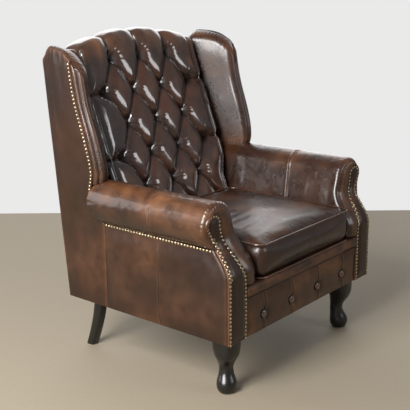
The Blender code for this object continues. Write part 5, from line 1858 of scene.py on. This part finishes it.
# ------------------------------------------------------------------ loose cushion
@dataclass
class SeatCushion:
    """Loose box cushion: crowned top, border, and a cord round each seam."""

    finishes: Finishes
    half: float = 0.2520
    front: float = -0.006
    back_low: float = 0.4620
    back_high: float = 0.4980
    floor: float = 0.3532
    seam: float = 0.4590
    crown: float = 0.020
    corner: float = 0.030
    voxel: float = 0.006
    frames: int = 16

    def outline(self, count: int, grow: float = 0.0, back: float | None = None) -> np.ndarray:
        """Rounded rectangle of the cushion seen from above.

        Args:
            count: how many points.
            grow: distance outside the cushion's own outline.
            back: depth of its rear, if it isn't the top's.

        Returns:
            Points (x, depth), the first not repeated.
        """
        back = self.back_high if back is None else back
        corners = (
            (self.half - self.corner, back - self.corner, 0),
            (-self.half + self.corner, back - self.corner, 90),
            (-self.half + self.corner, self.front + self.corner, 180),
            (self.half - self.corner, self.front + self.corner, 270),
        )
        ring = []
        for x, depth, start in corners:
            turn = np.radians(np.linspace(start, start + 90, 12))
            reach = self.corner + grow
            ring.append(np.stack([x + reach * np.cos(turn), depth + reach * np.sin(turn)], -1))
        line = np.vstack([*ring, ring[0][:1]])
        return evenly(line, count + 1)[:-1]

    def rim_distance(self, rest: np.ndarray, count: int) -> np.ndarray:
        """How far each point lies from the outline, seen from above.

        Args:
            rest: the points.
            count: points of the outline to measure to.

        Returns:
            One distance for each point.
        """
        far = np.full(len(rest), FAR_OFF)
        for x, depth in self.outline(count):
            far = np.minimum(far, np.hypot(rest[:, 0] - x, rest[:, 1] - LINES.front - depth))
        return far

    def block(self) -> bpy.types.Object:
        """Plain block of the cushion's size, before it is filled."""
        deselect()
        middle = (self.front + self.back_low) / 2 + LINES.front
        bpy.ops.mesh.primitive_cube_add(size=1.0, location=(0.0, middle, (self.floor + self.seam) / 2))
        obj = bpy.context.object
        obj.name = "cushion"
        obj.scale = (2 * self.half, self.back_low - self.front, self.seam - self.floor)
        bpy.ops.object.transform_apply(location=True, rotation=True, scale=True)
        for vertex in obj.data.vertices:
            if vertex.co.z > self.floor + 0.05 and vertex.co.y > middle:
                vertex.co.y += self.back_high - self.back_low
        bpy.ops.object.mode_set(mode="EDIT")
        bpy.ops.mesh.select_all(action="DESELECT")
        bpy.ops.object.mode_set(mode="OBJECT")
        for edge in obj.data.edges:
            a, b = (obj.data.vertices[i].co for i in edge.vertices)
            edge.select = abs(a.z - b.z) > 0.05
        bpy.ops.object.mode_set(mode="EDIT")
        bpy.ops.mesh.select_mode(type="EDGE")
        bpy.ops.mesh.bevel(offset=self.corner, segments=6, affect="EDGES")
        bpy.ops.object.mode_set(mode="OBJECT")
        remesh = obj.modifiers.new("Remesh", "REMESH")
        remesh.mode = "VOXEL"
        remesh.voxel_size = self.voxel
        bpy.ops.object.modifier_apply(modifier=remesh.name)
        return obj

    def fill(self, obj: bpy.types.Object) -> np.ndarray:
        """Blows the block up between its seams and crowns its top.

        Args:
            obj: the remeshed block.

        Returns:
            Rest places of its points.
        """
        rest = points_of(obj)
        depth = rest[:, 1] - LINES.front
        across = 1.0 - (rest[:, 0] / self.half) ** 2
        middle = (self.front + self.back_high) / 2
        along = 1.0 - ((depth - middle) / (self.back_high - middle)) ** 2
        lift = np.clip(across, 0, 1) ** 0.7 * np.clip(along, 0, 1) ** 0.7
        high = smooth((rest[:, 2] - self.floor - 0.04) / (self.seam - self.floor - 0.04))
        group = obj.vertex_groups.new(name="seams")
        on_seam = np.abs(rest[:, 2] - self.seam) < 0.004
        far = self.rim_distance(rest, 400)
        pinned = (on_seam & (far < 0.006)) | (rest[:, 2] < self.floor + 0.004)
        group.add([int(i) for i in np.nonzero(pinned)[0]], 1.0, "REPLACE")
        self.simulate(obj, group.name)
        now = points_of(obj)
        moved = now - rest
        travel = np.linalg.norm(moved, axis=1, keepdims=True)
        moved *= np.minimum(1.0, 0.010 / np.maximum(travel, 1e-9))
        limit = rest + moved
        limit[:, 2] += lift * high * self.crown * 0.75
        limit[:, 2] = np.maximum(limit[:, 2], self.floor)
        obj.data.vertices.foreach_set("co", limit.ravel())
        obj.data.update()
        return rest

    def simulate(self, obj: bpy.types.Object, pins: str) -> None:
        """Runs the cloth under inner pressure and applies it.

        Args:
            obj: the remeshed block.
            pins: vertex group that stays put.
        """
        scene = bpy.context.scene
        cloth = obj.modifiers.new("Cloth", "CLOTH")
        settings = cloth.settings
        settings.use_pressure = True
        settings.uniform_pressure_force = 1.2
        settings.vertex_group_mass = pins
        settings.shrink_min = -0.004
        settings.quality = 6
        settings.tension_stiffness = 12.0
        settings.bending_stiffness = 0.6
        settings.effector_weights.gravity = 0.0
        cloth.point_cache.frame_start, cloth.point_cache.frame_end = 1, self.frames
        scene.frame_start, scene.frame_end = 1, self.frames
        for frame in range(1, self.frames + 1):
            scene.frame_set(frame)
        select_only(obj)
        bpy.ops.object.modifier_apply(modifier=cloth.name)
        scene.frame_set(1)

    def build(self) -> None:
        """Makes the cushion and its cords."""
        obj = self.block()
        rest = self.fill(obj)
        depth = rest[:, 1] - LINES.front
        from_edge = self.rim_distance(rest, 300)
        now = points_of(obj)
        on_top = smooth((rest[:, 2] - self.seam + 0.004) / 0.003)
        radial = np.sin(np.arctan2(depth - 0.24, rest[:, 0]) * 46 + 3 * noise(rest, 0.05, 81))
        now[:, 2] += on_top * 0.0010 * radial * hump(from_edge - 0.012, 0.016)
        stretch = noise(rest * np.array([0.45, 1.0, 1.0]), 0.035, 82)
        now[:, 2] += on_top * 0.0013 * stretch * smooth(from_edge / 0.04)
        pulls = noise(rest * np.array([0.25, 1.6, 1.0]), 0.030, 83)
        left = hump(rest[:, 0] + 0.17, 0.09)
        now[:, 2] += on_top * 0.0022 * pulls * left * smooth(from_edge / 0.03)
        face = smooth((self.front + 0.004 - depth) / 0.003)
        now[:, 1] += face * 0.0006 * noise(rest * np.array([0.5, 1.0, 1.4]), 0.05, 84)
        obj.data.vertices.foreach_set("co", now.ravel())
        worn = on_top * 0.25 * smooth(0.4 + noise(rest, 0.09, 85))
        worn += 0.45 * hump(np.abs(rest[:, 2] - self.seam) + 0.5 * np.maximum(from_edge - 0.004, 0), 0.006)
        paint(obj, "worn", np.clip(worn, 0.0, 1.0))
        paint(obj, "crease", 0.0)
        bpy.ops.object.shade_smooth()
        select_only(obj)
        subdivided(obj, 1)
        in_place(
            obj, self.finishes.seat, ("cushion_cover", "cushion_core"), CUSHION
        )
        self.cords()

    def cords(self) -> None:
        """Corded seams round the top and the foot."""
        made = []
        top = ("top", self.seam, self.back_high)
        foot = ("foot", self.floor + 0.0035, self.back_low + 0.002)
        for name, z, back in (top, foot):
            ring = self.outline(260, 0.0006, back)
            ring = np.vstack([ring, ring[:1]])
            made.append(tube("cord_" + name, at_depth(ring[:, 0], ring[:, 1], z), 0.0024))
        obj = joined("cushion_cords", made)
        paint(obj, "worn", 0.15)
        in_place(obj, self.finishes.leather, body=CUSHION)


# ------------------------------------------------------------------ legs
@dataclass
class Leg:
    """Turned-and-carved leg, drawn up ring by ring from the foot.

    Levels are (height, shift towards the outer front corner, half side, roundness) for a
    front leg and the same with a shift to the rear for a rear leg.
    """

    name: str
    centre: tuple
    shift: tuple
    levels: tuple
    finishes: Finishes

    def build(self) -> bpy.types.Object:
        """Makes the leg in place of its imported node."""
        deselect()
        start = self.levels[0]
        base = Vector((self.centre[0], self.centre[1], 0.0))
        bpy.ops.mesh.primitive_circle_add(
            vertices=8, radius=start[2], fill_type="NGON",
            location=base + Vector((*self.shift, 0.0)) * start[1],
        )
        obj = bpy.context.object
        bpy.ops.object.transform_apply(location=True, rotation=True, scale=True)
        edit_all()
        before = start
        for level in self.levels[1:]:
            step = Vector((*self.shift, 0.0)) * (level[1] - before[1])
            step.z = level[0] - before[0]
            bpy.ops.mesh.extrude_region_move(TRANSFORM_OT_translate={"value": step})
            grow = level[2] / before[2]
            bpy.ops.transform.resize(value=(grow, grow, 1.0))
            before = level
        bpy.ops.mesh.select_all(action="DESELECT")
        bpy.ops.object.mode_set(mode="OBJECT")
        self.square_up(obj)
        subdivided(obj, 2)
        bpy.ops.object.shade_smooth()
        obj.name = self.name + "_carved"
        obj.data.name = obj.name
        return in_place(obj, self.finishes.ebony, (self.name,))

    def square_up(self, obj: bpy.types.Object) -> None:
        """Pushes the corners out where the leg is square."""
        heights = [level[0] for level in self.levels]
        for vertex in obj.data.vertices:
            k = min(range(len(heights)), key=lambda i: abs(heights[i] - vertex.co.z))
            level = self.levels[k]
            middle = Vector([self.centre[k] + self.shift[k] * level[1] for k in (0, 1)])
            away = Vector((vertex.co.x, vertex.co.y)) - middle
            corner = abs(abs(away.x) - abs(away.y)) < 0.2 * away.length
            reach = 1.0 + (0.42 * (1.0 - level[3]) if corner else 0.0)
            reach *= 1.045
            vertex.co.x = middle.x + away.x * reach
            vertex.co.y = middle.y + away.y * reach


FRONT_LEG_LEVELS = (
    (0.0000, 0.000, 0.0150, 1.0),
    (0.0010, 0.000, 0.0235, 1.0),
    (0.0060, 0.000, 0.0285, 1.0),
    (0.0160, 0.000, 0.0325, 1.0),
    (0.0280, 0.001, 0.0340, 1.0),
    (0.0400, -0.001, 0.0318, 1.0),
    (0.0520, -0.005, 0.0270, 1.0),
    (0.0660, -0.009, 0.0232, 0.95),
    (0.0800, -0.010, 0.0222, 0.90),
    (0.0930, -0.007, 0.0240, 0.75),
    (0.1060, -0.002, 0.0285, 0.60),
    (0.1200, 0.002, 0.0330, 0.45),
    (0.1350, 0.003, 0.0360, 0.35),
    (0.1550, 0.000, 0.0380, 0.28),
    (0.1750, -0.001, 0.0385, 0.28),
    (0.1907, -0.001, 0.0385, 0.28),
    (0.1915, -0.001, 0.0380, 0.28),
)


def rear_leg_levels() -> tuple:
    """Square leg that sweeps back to its foot."""
    levels = [(0.0, 0.0510, 0.0150, 0.06), (0.0008, 0.0508, 0.0158, 0.06)]
    for z in np.linspace(0.012, 0.1908, 10):
        low = 1.0 - z / 0.1917
        levels.append((float(z), 0.051 * low**1.6, 0.0180 - 0.0020 * low, 0.06))
    levels.append((0.1915, 0.0, 0.0178, 0.06))
    return tuple(levels)


# ------------------------------------------------------------------ studio
@dataclass(frozen=True)
class Studio:
    """Camera, lamps, floor and world."""

    lens: float = 81.75
    position: tuple = (-2.3726, -1.9075, 1.2972)
    yaw: float = -51.017
    pitch: float = -15.329
    roll: float = -0.475
    floor_end: float = 4.6

    def camera(self) -> None:
        """Camera at the usual three-quarter view."""
        yaw, pitch, roll = (math.radians(a) for a in (self.yaw, self.pitch, self.roll))
        ahead = Vector((-math.sin(yaw) * math.cos(pitch), math.cos(yaw) * math.cos(pitch), math.sin(pitch)))
        flat = Vector((math.cos(yaw), math.sin(yaw), 0.0))
        up = flat.cross(ahead)
        right = math.cos(roll) * flat + math.sin(roll) * up
        up = -math.sin(roll) * flat + math.cos(roll) * up
        data = bpy.data.cameras.new("camera")
        data.lens, data.sensor_width = self.lens, 36.0
        obj = bpy.data.objects.new("camera", data)
        turn = Matrix((right, up, -ahead)).transposed().to_4x4()
        obj.matrix_world = Matrix.Translation(self.position) @ turn
        bpy.context.scene.collection.objects.link(obj)
        bpy.context.scene.camera = obj

    def lamp(self, name: str, place: tuple, size: tuple, power: float) -> None:
        """Soft lamp that looks at the chair.

        Args:
            name: the lamp's name.
            place: its centre.
            size: width and height.
            power: in watts.
        """
        data = bpy.data.lights.new(name, "AREA")
        data.shape = "RECTANGLE"
        data.size, data.size_y, data.energy = *size, power
        obj = bpy.data.objects.new(name, data)
        obj.location = place
        obj.visible_camera = False
        aim = Vector((0.0, 0.0, 0.55)) - Vector(place)
        obj.rotation_euler = aim.to_track_quat("-Z", "Y").to_euler()
        bpy.context.scene.collection.objects.link(obj)

    def floor(self) -> None:
        """Pale floor that ends square to the camera behind the chair."""
        turn = math.radians(self.yaw)
        ahead = Vector((-math.sin(turn), math.cos(turn), 0.0))
        middle = Vector((*self.position[:2], 0.0)) + ahead * (self.floor_end - 8.0)
        deselect()
        bpy.ops.mesh.primitive_plane_add(size=16.0, location=middle, rotation=(0.0, 0.0, turn))
        obj = bpy.context.object
        obj.name = "floor"
        material, shade, shader = fresh_material("pale_floor")
        speckle = shade.spots(shade.place(), 90.0, 4.0)
        colour = shade.mixed(speckle, (0.215, 0.178, 0.127), (0.255, 0.215, 0.155))
        shade.feed(shader.inputs["Base Color"], colour)
        shader.inputs["Roughness"].default_value = 0.75
        obj.data.materials.append(material)

    def world(self) -> None:
        """Even pale surroundings."""
        world = bpy.data.worlds.new("studio")
        bpy.context.scene.world = world
        world.use_nodes = True
        tree = world.node_tree
        around = tree.nodes["Background"]
        around.inputs["Color"].default_value = (0.95, 0.97, 1.0, 1.0)
        around.inputs["Strength"].default_value = 0.23
        seen = tree.nodes.new("ShaderNodeBackground")
        seen.inputs["Color"].default_value = (0.82, 0.82, 0.815, 1.0)
        seen.inputs["Strength"].default_value = 1.0
        path = tree.nodes.new("ShaderNodeLightPath")
        either = tree.nodes.new("ShaderNodeMixShader")
        link(tree, path.outputs["Is Camera Ray"], either.inputs[0])
        link(tree, around.outputs[0], either.inputs[1])
        link(tree, seen.outputs[0], either.inputs[2])
        link(tree, either.outputs[0], tree.nodes["World Output"].inputs["Surface"])

    def build(self) -> None:
        """Sets up the view and the light."""
        self.camera()
        self.floor()
        self.world()
        self.lamp("key", (-3.0, -0.35, 2.2), (1.5, 2.4), 285.0)
        self.lamp("fill", (0.9, -3.2, 1.7), (1.2, 1.2), 22.0)
        self.lamp("window", (-2.2, 2.6, 1.5), (1.6, 1.8), 34.0)
        self.lamp("far_wall", (2.8, 2.4, 1.75), (5.4, 3.4), 112.0)
        bpy.context.scene.view_settings.view_transform = "Standard"


# ------------------------------------------------------------------ whole chair
def corners(box: tuple) -> list:
    """A box as plain lists."""
    return [list(box[0]), list(box[1])]


def main() -> None:
    """Builds the chair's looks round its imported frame."""
    logging.basicConfig(level=logging.INFO, format="%(name)s: %(message)s")
    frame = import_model()
    finishes = Finishes.mixed()
    finishes.dress_frame(frame["nodes"])
    Studio().build()
    TuftedBack(finishes).build()
    for side in Side:
        Arm(side, finishes).build()
        Wing(side, finishes).build()
        Leg(
            "front_leg_" + side.word, (side.value * 0.326, LINES.front + 0.068),
            (side.value * 0.7071, -0.7071), FRONT_LEG_LEVELS, finishes,
        ).build()
        Leg(
            "rear_leg_" + side.word, (side.value * 0.318, LINES.front + 0.603),
            (0.0, 1.0), rear_leg_levels(), finishes,
        ).build()
    Skirt(finishes).build()
    OuterBack(finishes).build()
    UnderSeat(finishes).build()
    SeatCushion(finishes).build()


if __name__ == "__main__":
    main()
